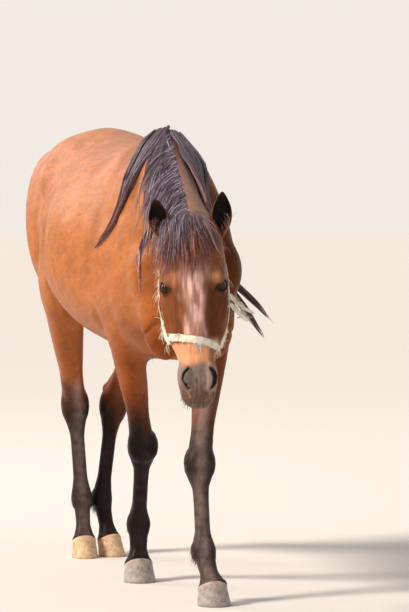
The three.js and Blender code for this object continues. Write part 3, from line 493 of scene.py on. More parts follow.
plain_head = carve(
    10,
    join(
        16,
        skull,
        *both_sides(lambda s: lump(on_head(212, s * 70, -150), head_down, head_left, 106, 90, 28)),
        *both_sides(lambda s: lump(on_head(172, s * 80, -30), head_down, head_left, 36, 24, 16)),
        *both_sides(lambda s: rod(on_head(250, s * 90, -80), on_head(350, s * 72, -82), 12, 8)),
        *both_sides(lambda s: lump(on_head(484, s * 41, -50), head_down, head_left, 44, 32, 20)),
        lump(on_head(534, 0, -66), head_left, head_out, 48, 34, 30),
        lump(on_head(532, 0, -122), head_left, head_out, 40, 34, 22),
    ),
    *both_sides(lambda s: lump(on_head(240, s * 118, -36), head_down, head_left, 52, 30, 15)),
)
head_field = near(on_head(280, 0, -90), 480, plain_head)

# ---- The whole body ----
BLEND = 36
trunk_field = join(
    34,
    barrel,
    join(30, *map(shoulder_muscles, FORELEGS.values()), *breast, brisket),
    join(30, *map(quarter_muscles, HINDLEGS.values())),
)
torso_field = join(44, trunk_field, neck_field)
leg_fields = [*map(foreleg, FORELEGS.values()), *map(hindleg, HINDLEGS.values())]


def body_field(p):
    """Each leg and the head melt into the torso, and the legs part from each other in a crease."""
    torso = torso_field(p)
    out = soft_min(torso, head_field(p), BLEND)
    for leg in leg_fields:
        out = np.minimum(out, soft_min(torso, leg(p), BLEND))
    return out


# ---- Fine forms that only the skin has ----
def depth_along(points, p):
    """The distance of points from a line through some places, and the share of the way along it."""
    best, where = np.full(len(p), FAR), np.zeros(len(p))
    for i, (a, b) in enumerate(zip(points, points[1:])):
        line = b - a
        if not line.any():
            continue
        t = np.clip((p - a) @ line / (line @ line), 0, 1)
        far = np.linalg.norm(p - a - t[:, None] * line, axis=1)
        closer = far < best
        best[closer], where[closer] = far[closer], (i + t[closer]) / (len(points) - 1)
    return best, where


def smooth(low, high, x):
    t = np.clip((x - low) / (high - low), 0, 1)
    return t * t * (3 - 2 * t)


def bell(x):
    return np.exp(-np.square(x))


def pressed(p, points, depth, width):
    """A soft groove along a line, or a ridge where its depth is below zero. It fades at both ends."""
    far, t = depth_along(points, p)
    return depth * bell(far / width) * np.sqrt(np.clip(np.sin(math.pi * np.clip(t, 0.02, 0.98)), 0, 1))


# Folds, veins and bony edges of one side of the head: places, depth and width
HEAD_FURROWS = [
    # facial crest, and the groove under it
    ([(256, 92, -70), (330, 86, -76), (372, 74, -80)], -5.0, 8),
    ([(290, 96, -104), (345, 84, -104)], 3.5, 10),
    # edge of the jaw, behind the cheek
    ([(110, 74, -196), (190, 72, -232), (262, 60, -222)], -3.0, 9),
    ([(272, 66, -190), (300, 74, -150), (300, 80, -118)], 3.0, 11),
    # veins that fork below the crest
    ([(300, 84, -150), (345, 84, -112), (385, 74, -84), (420, 62, -62)], -3.0, 4),
    ([(372, 78, -92), (400, 62, -52), (420, 48, -36)], -2.6, 3.5),
    ([(262, 82, -44), (296, 76, -42), (322, 56, -24), (350, 52, -28)], -3.4, 4),
    # nasal bone, and the slit between it and the false nostril
    ([(236, 36, 0), (340, 30, -10), (430, 22, -17)], -3.0, 9),
    ([(236, 62, -16), (300, 56, -20), (380, 46, -24), (440, 36, -28)], 6.0, 13),
    ([(262, 72, -38), (330, 66, -42), (390, 56, -44)], 3.0, 10),
    # hollow over the eye, and the arch behind it
    ([(140, 70, -30), (160, 78, -36)], 8.0, 15),
    # brow over the eye, and the hollow at its inner end
    ([(176, 62, -14), (192, 80, -20), (206, 92, -30)], -4.0, 9),
    ([(214, 62, -12), (236, 66, -20)], 4.0, 12),
    ([(196, 96, -76), (150, 92, -78), (96, 88, -76)], -3.5, 8),
    # folds over and under the lids
    ([(186, 92, -52), (194, 90, -28), (208, 78, -15), (224, 72, -14)], 2.6, 3.2),
    ([(198, 100, -64), (222, 98, -56), (238, 86, -38)], 2.2, 3.0),
    ([(236, 74, -24), (256, 68, -28)], 2.4, 4),
    # folds round the nostril
    ([(458, 58, -40), (482, 64, -52), (508, 60, -54), (524, 50, -50)], 1.8, 4),
    ([(440, 46, -38), (452, 50, -34)], 1.8, 5),
    ([(470, 26, -22), (492, 30, -25), (512, 24, -32)], 1.6, 6),
    # the groove down the upper lip, and the creases beside it
    ([(500, 0, -28), (530, 0, -33), (556, 0, -44)], 1.5, 4),
    ([(512, 14, -31), (536, 18, -36)], 1.6, 4.5),
    # corner of the mouth and the lips' own folds
    ([(478, 54, -106), (486, 55, -122)], 2.0, 4),
    ([(520, 40, -112), (540, 32, -118)], -1.5, 6),
]
MOUTH = [(484, 56, -106), (510, 56, -100), (536, 50, -94), (554, 36, -88), (564, 16, -84)]


def mirrored_places(places, s):
    return [on_head(down, s * left, out) for down, left, out in places]


mouth_line = mirrored_places(MOUTH, 1) + mirrored_places(MOUTH, -1)[::-1]


def eye_axes(s):
    """Along the lids towards the nose, up across them, and out of the head."""
    along = unit(0.82 * head_down + 0.5 * head_out - 0.45 * s * head_left)
    out = unit(s * head_left + 0.85 * head_out)
    along = unit(along - out * (along @ out))
    up = np.cross(out, along)
    return along, up if up @ head_out > 0 else -up, out


LID_LENGTH, LID_OPEN = 21.0, 14.5


def lid_gap(p, s):
    """How far points lie outside the almond between the lids."""
    u, v, w = ((p - eye_centre(s)) @ axis for axis in eye_axes(s))
    round_top = LID_OPEN * (1 - np.abs(u / LID_LENGTH) ** 2.2)
    round_low = 0.66 * LID_OPEN * (1 - np.abs(u / LID_LENGTH) ** 2.0)
    return np.where(v > 0, v - round_top, -v - round_low) + np.where(w < 0, 40, 0)


# The nostril's crescent on the skin: distance down, to the side, and out of the face
NOSTRIL = [(465, 39, -21), (475, 46, -20), (491, 50, -21), (507, 46, -26), (519, 37, -33)]


def nostril_places(s, sink):
    """The nostril's crescent on one side. The right one is half closed, and lies nearer to the middle."""
    return [on_head(d, s * (l - (9 if s < 0 else 0)), o - sink) for d, l, o in NOSTRIL]


def nostril_cut(p, s):
    """The hollow of the nostril: a crescent that runs back and in, three times deeper than it is wide."""
    inward = unit(head_out + 0.5 * s * head_left + 0.25 * head_down)

    def squeezed(q):
        return q - 0.55 * (q @ inward)[..., None] * inward

    rim = np.array(nostril_places(s, 5))
    far, t = depth_along(squeezed(rim), squeezed(p))
    wide = 4.6 if s > 0 else 3.8 * (1 - 0.9 * t)
    return far - (2.2 if s > 0 else 1.6) - wide * np.sin(math.pi * np.clip(0.15 + 0.8 * t, 0, 1)) ** 0.8


def head_detail(p, value):
    """Adds the lids, nostrils, lips and folds to the head's distance."""
    close = np.linalg.norm(p - on_head(280, 0, -90), axis=1) < 400
    q, out = p[close], value[close]
    for s in (1, -1):
        for places, depth, width in HEAD_LINES[s]:
            out = out + pressed(q, places, depth, width)
        ball = np.linalg.norm(q - eye_centre(s), axis=1)
        out = soft_min(out, ball - LID_RADIUS, 7)
        gap = np.maximum(lid_gap(q, s), EYE_RADIUS - 1.6 - ball)
        out = -soft_min(-out, gap, 2.0)
        far = depth_along(nostril_places(s, 6), q)[0]
        out = soft_min(out, far - 12, 7)
        out = -soft_min(-out, nostril_cut(q, s), 5)
    far, t = depth_along(mouth_line, q)
    out = out + 6.0 * bell(far / 3.0) * smooth(0, 0.06, t) * smooth(1, 0.94, t)
    value = value.copy()
    value[close] = out
    return value


# Hollows and edges of muscle on one side of the body: places, depth and width
BODY_FURROWS = [
    # front and back of the shoulder blade, and the ridge along its middle
    ([(84, 60, 1420), (150, 170, 1250), (168, 262, 1110)], 7, 26),
    ([(110, -120, 1400), (205, -70, 1230), (222, -60, 1050)], 8, 30),
    ([(80, 10, 1400), (170, 90, 1220), (180, 180, 1080)], -4, 18),
    # between shoulder and arm, and behind the elbow
    ([(180, 240, 1010), (190, 120, 960)], 6, 20),
    ([(200, -110, 920), (180, -120, 820)], 9, 26),
    # flank, point of the hip, and in front of the thigh
    ([(250, -660, 1330), (266, -690, 1210), (262, -700, 1110)], 12, 42),
    ([(215, -610, 1335), (262, -575, 1250), (292, -530, 1130), (290, -540, 1050)], 7, 19),
    ([(262, -700, 1010), (238, -715, 940), (205, -712, 870)], 9, 17),
    # the edge of the loin, over the last ribs
    ([(130, -400, 1395), (200, -385, 1335), (245, -400, 1270), (282, -450, 1190)], -5, 19),
    # the fold between the breast and the arm, and the muscles of the breast
    ([(92, 392, 935), (112, 372, 890), (134, 330, 856), (126, 150, 812)], 9, 8),
    ([(70, 402, 900), (84, 372, 850), (80, 300, 806)], 5, 11),
    ([(40, 420, 920), (42, 390, 850), (40, 330, 800)], -5, 12),
    ([(16, 440, 960), (8, 410, 880), (4, 350, 800)], 5, 10),
    ([(54, 200, 752), (50, 262, 757), (40, 330, 775)], 18, 38),
    ([(34, -60, 742), (34, 120, 740), (34, 290, 755)], 18, 62),
    # between the muscles of the quarters
    ([(150, -1060, 1330), (186, -1040, 1150), (170, -1010, 930)], 6, 20),
    ([(215, -860, 1300), (240, -890, 1120), (210, -900, 960)], 4, 26),
    # along the belly, where it meets the flank
    ([(150, -180, 775), (190, -420, 800), (190, -620, 850)], -4, 26),
]


def body_lines(s):
    """The furrows of one side. The jugular groove leans over to the right, as the neck does."""
    jugular = [at(s * 80 - 40, 520, 1080), at(s * 100 - 20, 420, 1080), at(s * 112, 320, 1060)]
    yield jugular, 7, 20
    for places, depth, width in BODY_FURROWS:
        yield [at(s * side, ahead, up) for side, ahead, up in places], depth, width


RIBS = np.arange(-610, -190, 62)


def crease_shade_and_ridge_sheen(p):
    """Over 0 in the grooves between the body's muscles, and below it on their ridges: painted shade and
    sheen.
    """
    total = np.zeros(len(p))
    close = np.flatnonzero(p[:, 2] > 700)
    for s in (1, -1):
        for places, depth, width in body_lines(s):
            total[close] += pressed(p[close], places, depth / 9 * min(1, 11 / width), width)
    return total


def leg_furrows(leg, fore):
    """Tendons, veins and the hollows beside them, down both sides of a leg."""
    lines = []
    knee, fetlock = leg.knee, leg.fetlock
    down = fetlock - knee
    back = unit(np.cross(np.cross(down, AHEAD), down))
    if back @ AHEAD > 0:
        back = -back
    side = unit(np.cross(down, back))
    for e in (1, -1):
        hollow = [knee + down * t + side * e * 27 + back * 15 for t in (0.24, 0.5, 0.8)]
        cord = [knee + down * t + side * e * 14 + back * 36 for t in (0.2, 0.5, 0.85)]
        lines += [(hollow, 5.0, 8), (cord, -2.0, 7)]
        if fore:
            lines.append(([knee + side * e * 44 + UP * h for h in (34, 0, -30)], 2.5, 12))
            lines.append(([knee + side * e * 30 - back * 38 + UP * h for h in (16, 14)], 3, 14))
        else:
            lines.append(([knee + side * e * 40 + back * 34 + UP * h for h in (90, 50, 10)], 8, 17))
    return lines


def body_detail(p, value):
    """Adds the edges of muscles, ribs and tendons to the body's distance."""
    out = value.copy()
    trunk = np.flatnonzero(p[:, 2] > 640)
    q = p[trunk]
    for s in (1, -1):
        for places, depth, width in body_lines(s):
            out[trunk] += pressed(q, places, depth, width)
        for ahead in RIBS:
            rib = [at(s * 262, ahead + 34, 1230), at(s * 292, ahead - 4, 1080), at(s * 240, ahead + 26, 890)]
            out[trunk] += pressed(q, rib, 1.6, 15)
    for leg in LEGS:
        close = np.flatnonzero(depth_along(leg.line, p)[0] < 130)
        for places, depth, width in leg_furrows(leg, leg in FORELEGS.values()):
            out[close] += pressed(p[close], places, depth, width)
        # Below the coronet the skin draws in, under the horn
        out[close] += 11 * smooth(0, 9, (leg.coronet - p[close]) @ leg.coronet_normal)
    return out


def skin_field(p):
    return head_detail(p, body_detail(p, body_field(p)))


def slope_of(field, p, h=0.6):
    value = field(p)
    steps = [(field(p + h * axis) - value) / h for axis in np.eye(3)]
    return value, np.stack(steps, axis=1)


def drawn_onto(field, p, height=0.0, rounds=3):
    """Moves points along the field's slope until they lie at a height over the form."""
    p = p.copy()
    for _ in range(rounds):
        value, slope = slope_of(field, p)
        move = (value - height) / np.maximum((slope**2).sum(axis=1), 0.2)
        p -= slope * np.clip(move, -12, 12)[:, None]
    return p


# The furrows of both sides of the head, laid on it
HEAD_LINES = {
    s: [(drawn_onto(plain_head, np.array(mirrored_places(p, s)), 0, 6), d, w) for p, d, w in HEAD_FURROWS]
    for s in (1, -1)
}

# ---- Meshing ----
CELL = 12.4
BLOCK = 8  # cells along each side of a block
BODY_LOW, BODY_HIGH = at(-340, 860, 20), at(340, -1230, 1560)
READ_AT_ONCE = 200000  # points, to spare the memory


def sampled(field, cell):
    """The field on a grid, read finely only in the blocks that the surface may cross."""
    low = BODY_LOW
    wide = cell * BLOCK
    blocks = np.ceil((BODY_HIGH - low) / wide).astype(int)
    corner = np.stack(np.meshgrid(*[np.arange(n) for n in blocks], indexing="ij"), -1).reshape(-1, 3)
    coarse = field(low + (corner + 0.5) * wide)
    values = np.repeat(np.repeat(np.repeat(coarse.reshape(blocks), BLOCK, 0), BLOCK, 1), BLOCK, 2)
    inner = np.stack(np.meshgrid(*[np.arange(BLOCK)] * 3, indexing="ij"), -1).reshape(-1, 3)
    crossed = corner[np.abs(coarse) < wide * 0.87 + 34]
    spots = (crossed[:, None] * BLOCK + inner).reshape(-1, 3)
    for part in np.array_split(spots, max(1, len(spots) // READ_AT_ONCE)):
        values[tuple(part.T)] = field(low + part * cell)
    return values, low


def surface_net(values, low, cell):
    """Points and four-sided faces of the surface where gridded values change sign."""
    inside = values < 0
    shape = np.array(values.shape) - 1
    starts = np.ndindex(2, 2, 2)
    corners = [inside[tuple(slice(i, n + i) for i, n in zip(start, shape))] for start in starts]
    count = sum(corner.astype(np.int8) for corner in corners)
    crossed = (count > 0) & (count < 8)
    spots = np.argwhere(crossed)
    index = np.full(crossed.shape, -1)
    index[crossed] = np.arange(len(spots))
    total, hits = np.zeros((len(spots), 3)), np.zeros(len(spots))
    faces = []
    for axis in range(3):
        others = [(axis + 1) % 3, (axis + 2) % 3]
        step, (u, v) = np.eye(3, dtype=int)[axis], np.eye(3, dtype=int)[others]
        for start in (0 * u, u, v, u + v):
            a, b = values[tuple((spots + start).T)], values[tuple((spots + start + step).T)]
            cut = (a < 0) != (b < 0)
            t = a[cut] / (a[cut] - b[cut])
            total[cut] += start + t[:, None] * step
            hits[cut] += 1
        edge = np.argwhere(np.diff(inside.astype(np.int8), axis=axis) != 0)
        edge = edge[((edge[:, others] > 0) & (edge[:, others] < shape[others])).all(axis=1)]
        around = np.stack([index[tuple((edge - w).T)] for w in (0 * u, u, u + v, v)], axis=1)
        leaving = inside[tuple(edge.T)]
        around[~leaving] = around[~leaving][:, ::-1]
        faces.append(around)
    return low + cell * (spots + total / hits[:, None]), np.vstack(faces)


def relaxed(points, faces, field, rounds=2):
    """Evens out the spacing of the points, and puts them back on the form."""
    ends = np.vstack([faces[:, [i, (i + 1) % 4]] for i in range(4)])
    for _ in range(rounds):
        total, hits = np.zeros_like(points), np.zeros(len(points))
        for a, b in (ends.T, ends.T[::-1]):
            np.add.at(total, a, points[b])
            np.add.at(hits, a, 1)
        points = points + 0.6 * (total / hits[:, None] - points)
        points = drawn_onto(field, points, rounds=1)
    return points


# ---- Placing and building meshes ----
def middle_of(node):
    low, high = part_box(node)
    return (np.array(low) + np.array(high)) * 500


SHIFT = middle_of("eye_left") - eye_centre(1)  # from the horse's own frame to the frame of the solids


def in_scene(p):
    return (np.asarray(p) + SHIFT) / 1000


def placed(name, data, place=(0, 0, 0), heading=None):
    """Puts an object into the scene. A lamp or camera looks along its heading."""
    made = bpy.data.objects.new(name, data)
    made.location = place
    if heading is not None:
        made.rotation_euler = Vector(heading).to_track_quat("-Z", "Y").to_euler()
    bpy.context.scene.collection.objects.link(made)
    return made


def mesh_object(name, points, faces, material, colours=None, unwrap=None, upright=None):
    """A mesh of points in the horse's frame. Colours are for each point, and unwrap for each corner."""
    mesh = bpy.data.meshes.new(name)
    mesh.from_pydata(in_scene(points).tolist(), [], [list(map(int, f)) for f in faces])
    mesh.polygons.foreach_set("use_smooth", [True] * len(mesh.polygons))
    if colours is not None:
        layer = mesh.color_attributes.new("markings", "FLOAT_COLOR", "POINT")
        layer.data.foreach_set("color", np.column_stack([colours, np.ones(len(points))]).ravel())
    if upright is not None:
        layer = mesh.attributes.new("upright", "FLOAT", "POINT")
        layer.data.foreach_set("value", upright)
    if unwrap is not None:
        layer = mesh.uv_layers.new(name="OFBake")
        layer.data.foreach_set("uv", np.asarray(unwrap).ravel())
    mesh.materials.append(material)
    mesh.update()
    piece = placed(name, mesh)
    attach(piece, "root")
    return piece


def refined(points, faces, wanted, field, levels):
    """Splits the faces whose middles are wanted at each level, and puts new points on the form."""
    mesh = bpy.data.meshes.new("refining")
    mesh.from_pydata(points.tolist(), [], faces.tolist())
    shape = bmesh.new()
    shape.from_mesh(mesh)
    for level in range(levels):
        shape.verts.ensure_lookup_table()
        centres = np.array([f.calc_center_median() for f in shape.faces])
        chosen = wanted(centres, level)
        edges = {e for f, pick in zip(shape.faces, chosen) if pick for e in f.edges}
        before = len(shape.verts)
        bmesh.ops.subdivide_edges(shape, edges=list(edges), cuts=1, use_grid_fill=True)
        shape.verts.ensure_lookup_table()
        places = np.array([v.co for v in shape.verts])
        touched = np.zeros(len(places), bool)
        touched[before:] = True
        if level == levels - 1:
            touched |= wanted(places, 0)
        places[touched] = drawn_onto(field, places[touched])
        for v, place in zip(shape.verts, places):
            v.co = place
    bmesh.ops.triangulate(shape, faces=[f for f in shape.faces if len(f.verts) > 4])
    shape.verts.index_update()
    points = np.array([v.co for v in shape.verts])
    faces = [[v.index for v in f.verts] for f in shape.faces]
    shape.free()
    bpy.data.meshes.remove(mesh)
    return points, faces


def from_features(p):
    """How far points lie from the nearer eye, from the nearer nostril and from the lips."""
    eyes = np.minimum(*(np.linalg.norm(p - eye_centre(s), axis=1) for s in (1, -1)))
    nostrils = np.minimum(*(depth_along(nostril_places(s, 0), p)[0] for s in (1, -1)))
    return eyes, nostrils, depth_along(mouth_line, p)[0]


def wants_detail(p, level):
    """The head and the lower legs, then the eyes, nostrils and lips, then the lids alone."""
    down, _, out = head_place(p)
    eyes, nostrils, lips = from_features(p)
    if level == 0:
        breast = (p[:, 1] < -130) & (p[:, 2] < 960) & (p[:, 2] > 770)
        head = (down > 0) & (plain_head(p) < 16) | breast
        legs = [depth_along([leg.knee + UP * 80, leg.fetlock, leg.coronet], p)[0] < 90 for leg in LEGS]
        return head | (np.any(legs, axis=0) & (p[:, 2] < 700))
    if level == 1:
        snout = (down > 450) & (down < 620) & (out > -120)
        return (eyes < 46) | snout
    if level == 2:
        return (eyes < 31) | (nostrils < 19) | (lips < 8)
    rims = np.minimum(*(np.abs(lid_gap(p, s)) for s in (1, -1)))
    holes = np.minimum(*(np.abs(nostril_cut(p, s)) for s in (1, -1)))
    return (eyes < 31) & (rims < 4) | (nostrils < 19) & (holes < 6)


# ---- The lie of the coat ----
BACKWARD = unit(at(0, -0.93, -0.36))


def uprightness(p):
    """0 where the coat lies back along the body, and 1 where it lies down a leg or the face."""
    down = head_place(p)[0]
    face = smooth(60, 0, plain_head(p)) * smooth(-40, 60, down)
    return np.maximum(smooth(830, 690, p[:, 2]), face)


def hair_way(p, normal):
    """The way that the hair lies, along the skin."""
    share = uprightness(p)[:, None]
    face = (plain_head(p) < 40)[:, None]
    way = BACKWARD * (1 - share) + np.where(face, head_down, -UP) * share
    return unit(way - normal * (way * normal).sum(axis=1)[:, None] + 1e-9)


# ---- Colours ----
def linear(hex_colour):
    """An sRGB colour, written #RRGGBB, as linear light."""
    parts = [int(hex_colour[i : i + 2], 16) / 255 for i in (1, 3, 5)]
    return tuple(c / 12.92 if c <= 0.04045 else ((c + 0.055) / 1.055) ** 2.4 for c in parts)


def mottle(p, size, seed=0):
    """Soft patches from -1 to 1, about one size across."""
    rng = np.random.default_rng(seed)
    total = np.zeros(len(p))
    for _ in range(5):
        wave = unit(rng.normal(size=3)) * math.pi / size * rng.uniform(0.7, 1.3)
        total += np.sin(p @ wave + rng.uniform(0, 6.3) + 1.2 * np.sin(p @ wave[[1, 2, 0]]))
    return total / 3


def crest_way(p):
    """How far points lie from the crest, on both sides."""
    t = np.clip((p - NECK_BASE) @ unit(NECK_END - NECK_BASE) / neck_length, 0, 1.1)
    top = NECK_BASE + t[:, None] * (NECK_END - NECK_BASE) + read_neck(t)[2][:, None] * UP
    return np.linalg.norm(p - top, axis=1)


def leg_axis(leg, height):
    """Where a leg's bones lie at some heights."""
    joints = np.array([leg.hoof, leg.fetlock, leg.knee, leg.upper])
    return [np.interp(height, joints[:, 2], joints[:, i]) for i in (0, 1)]


def mixed(colours, layers):
    """Lays other colours over some, each by its share at every point."""
    for other, share in layers:
        colours = colours + (other - colours) * np.clip(share, 0, 1)[:, None]
    return colours


def coat_colours(p):
    """The horse's markings: a bay body, black points, a dark face and a grey muzzle, with painted shade and
    sheen over them.
    """
    look = bpy.context.scene.horse_coat
    bay, dusty_and_sheen, deep, black, dust, face = map(
        np.array, (look.bay, look.dusty_and_sheen, look.deep, look.points, look.dust, look.face)
    )
    side, ahead, up = p[:, 0], -p[:, 1], p[:, 2]
    patch = mottle(p, 90)
    relief = crease_shade_and_ridge_sheen(p)
    layers = [
        # Lighter back and quarters: bleached, dusty coat and a painted sheen on the top
        (dusty_and_sheen, 0.7 * smooth(1080, 1400, up + 60 * patch) * smooth(250, -150, ahead)),
        (deep, 0.55 * smooth(1000, 800, up + 30 * patch) + 0.4 * smooth(200, 420, ahead + 40 * patch)),
        (0.75 * deep, 0.7 * smooth(40, 200, ahead) * smooth(930, 830, up + 20 * patch)),
        # Painted shade in the grooves between the muscles, and painted sheen on their ridges
        (0.6 * deep, 0.8 * relief),
        (dusty_and_sheen, -0.3 * relief),
        # Painted shade on the neck's left side; the withers are painted darker too
        (0.8 * deep, 0.55 * smooth(210, 90, np.linalg.norm(p - at(-20, -60, 1470), axis=1))),
        (0.3 * deep, 0.92 * smooth(0, 60, side) * smooth(80, 250, ahead) * smooth(820, 960, up)),
    ]
    for leg in LEGS:
        fade_from = 780 if leg in FORELEGS.values() else 760
        on_leg = smooth(190, 120, depth_along(leg.line, p)[0])
        height = up + 26 * patch
        # Dust and a painted sheen lie down the front, and painted shade darkens the outer side
        outward = leg.sign * (side - leg_axis(leg, up)[0])
        band = bell((outward + 4) / 20)
        points_with_dust_and_sheen = mixed(black, [(dust, leg.dust * (0.12 + 1.2 * band) * (1 + 0.3 * mottle(p, 22, 9)))])
        layers += [
            (deep, on_leg * smooth(fade_from + 60, 590, height)),
            # Painted shade on the outer side of the upper leg, and painted sheen down its front
            (0.35 * deep, 1.3 * leg.dust * smooth(6, 34, outward) * on_leg * smooth(860, 720, up)),
            (1.8 * dust, 1.5 * leg.dust * band * on_leg * smooth(780, 640, up)),
            (points_with_dust_and_sheen, on_leg * smooth(fade_from - 80, 470, height)),
        ]
    # The strip by the crest is painted dark: the mane's dark roots and painted shade under the mane
    crest = (0.1 + 0.24 * smooth(180, 420, ahead))[:, None] * face
    layers += [(crest, 0.85 * smooth(105, 50, crest_way(p) + 10 * patch)), head_colours(p)]
    return mixed(np.tile(bay, (len(p), 1)), layers)


def head_colours(p):
    """The head's colours with their painted shade and highlights, and their share at each point."""
    look = bpy.context.scene.horse_coat
    face, shade, tan, muzzle, black, deep = map(
        np.array, (look.face, look.face_shade, look.tan, look.muzzle, look.points, look.deep)
    )
    down, left, forward = head_place(p)
    across = np.abs(left)
    patch = mottle(p, 34, 3)
    # The bridge narrows from the forehead to the nose, and a pale painted sheen lies in streaks down it
    bridge = smooth(-14, 14, np.interp(down, [60, 200, 300, 380], [50, 42, 31, 30]) - across + 9 * patch)
    streaks = mottle(np.column_stack([left, 0.2 * down, forward]), 11, 13)
    pale = bridge * smooth(90, 230, down + 12 * patch)
    cheek = smooth(-40, -120, forward + 14 * patch)
    # Bare skin shows between the nostrils in darker spots and creases, and there is sand on the lips
    spots = smooth(0.3, 0.9, mottle(p * (1, 1, 0.5), 9, 12)) * smooth(470, 490, down) * smooth(34, 20, across)
    sand = np.clip(mottle(p, 5, 5) + mottle(p, 3, 6) - 0.3, 0, 1)
    layers = [
        # Painted sheen down the forehead and the bridge, in streaks
        (face, pale * (0.42 + 0.58 * smooth(-0.6, 0.5, streaks))),
        (1.45 * face, 0.6 * pale * smooth(0.1, 0.9, streaks)),
        (1.15 * deep, 0.75 * cheek * smooth(440, 300, down)),
        # Painted shade on the left side of the face
        (0.42 * shade, 0.75 * smooth(16, 44, left) * smooth(120, 220, down)),
        # Painted shade in a band down each side of the nose
        (0.45 * shade, 0.55 * bell((across - 56) / 9) * smooth(225, 250, down) * smooth(372, 340, down)),
        # Painted highlight on the brow over each eye
        (tan, 0.5 * bell(np.hypot(down - 186, across - 66) / 20)),
        (tan, 0.35 * bell((forward + 82 + 6 * patch) / 9) * smooth(250, 280, down)),
        (tan, smooth(368, 388, down + 8 * patch) * smooth(482, 440, down - 6 * patch)),
        # Painted shade on the left side of the nose, below the noseband
        (0.6 * shade, 0.7 * smooth(30, 48, left + 4 * patch) * smooth(368, 388, down)),
        (muzzle, smooth(434, 466, down + 0.12 * across + 7 * patch)),
        (0.38 * muzzle * (1.25, 0.9, 0.6), 0.85 * smooth(500, 545, down + 9 * patch)),
        (0.3 * muzzle, 0.7 * spots),
        (0.75 * tan, 0.6 * sand * smooth(508, 535, down) * smooth(4, 30, across)),
    ]
    for s in (1, -1):
        ball = np.linalg.norm(p - eye_centre(s), axis=1)
        nostril = nostril_cut(p, s)
        layers += [
            (0.5 * black, 0.9 * smooth(30, 23, ball + 3 * patch)),
            # Painted highlight on the rim round each nostril
            (1.5 * muzzle, 0.4 * bell((nostril - 9) / 4) * smooth(455, 480, down)),
            # Painted shade deep in each nostril
            (0.3 * black, 0.97 * smooth(4, 0.5, nostril)),
        ]
    # Painted shade along the crease between the lips
    layers.append((0.4 * black, 0.9 * smooth(7, 2, depth_along(mouth_line, p)[0])))
    on_head_part = smooth(36, 6, plain_head(p)) * smooth(-40, 60, down)
    return mixed(np.tile(shade, (len(p), 1)), layers), on_head_part


# ---- Materials ----
def fill(tree, made, inputs):
    """Gives a node's inputs their values, or links them from sockets."""
    for name, value in inputs.items():
        if isinstance(value, bpy.types.NodeSocket):
            tree.links.new(value, made.inputs[name])
        else:
            made.inputs[name].default_value = value


def node(tree, kind, inputs=None, **settings):
    """Adds a shader node with its settings and inputs."""
    made = tree.nodes.new(kind)
    for name, value in settings.items():
        setattr(made, name, value)
    fill(tree, made, inputs or {})
    return made


def new_material(name):
    """A material with an empty tree but for its shader, which is returned beside it."""
    made = bpy.data.materials.new(name)
    made.use_nodes = True
    tree = made.node_tree
    return made, tree, tree.nodes["Principled BSDF"]


def toned_markings(tree, tone):
    """The colours painted on a mesh, made lighter and darker by a tone."""
    marks = node(tree, "ShaderNodeAttribute", attribute_name="markings").outputs["Color"]
    return node(tree, "ShaderNodeVectorMath", {0: marks, "Scale": tone}, operation="SCALE").outputs["Vector"]


def combed(tree, place, axis, tilt, scale, detail):
    """Noise drawn out eight times along one axis, like locks of hair that lie the same way."""
    stretch = tuple(8.0 if i == axis else 1.0 for i in range(3))
    inputs = {"Vector": place, "Rotation": (math.radians(tilt), 0, 0), "Scale": stretch}
    drawn = node(tree, "ShaderNodeMapping", inputs, vector_type="TEXTURE").outputs["Vector"]
    inputs = {"Vector": drawn, "Scale": scale, "Detail": detail}
    return node(tree, "ShaderNodeTexNoise", inputs).outputs["Fac"]


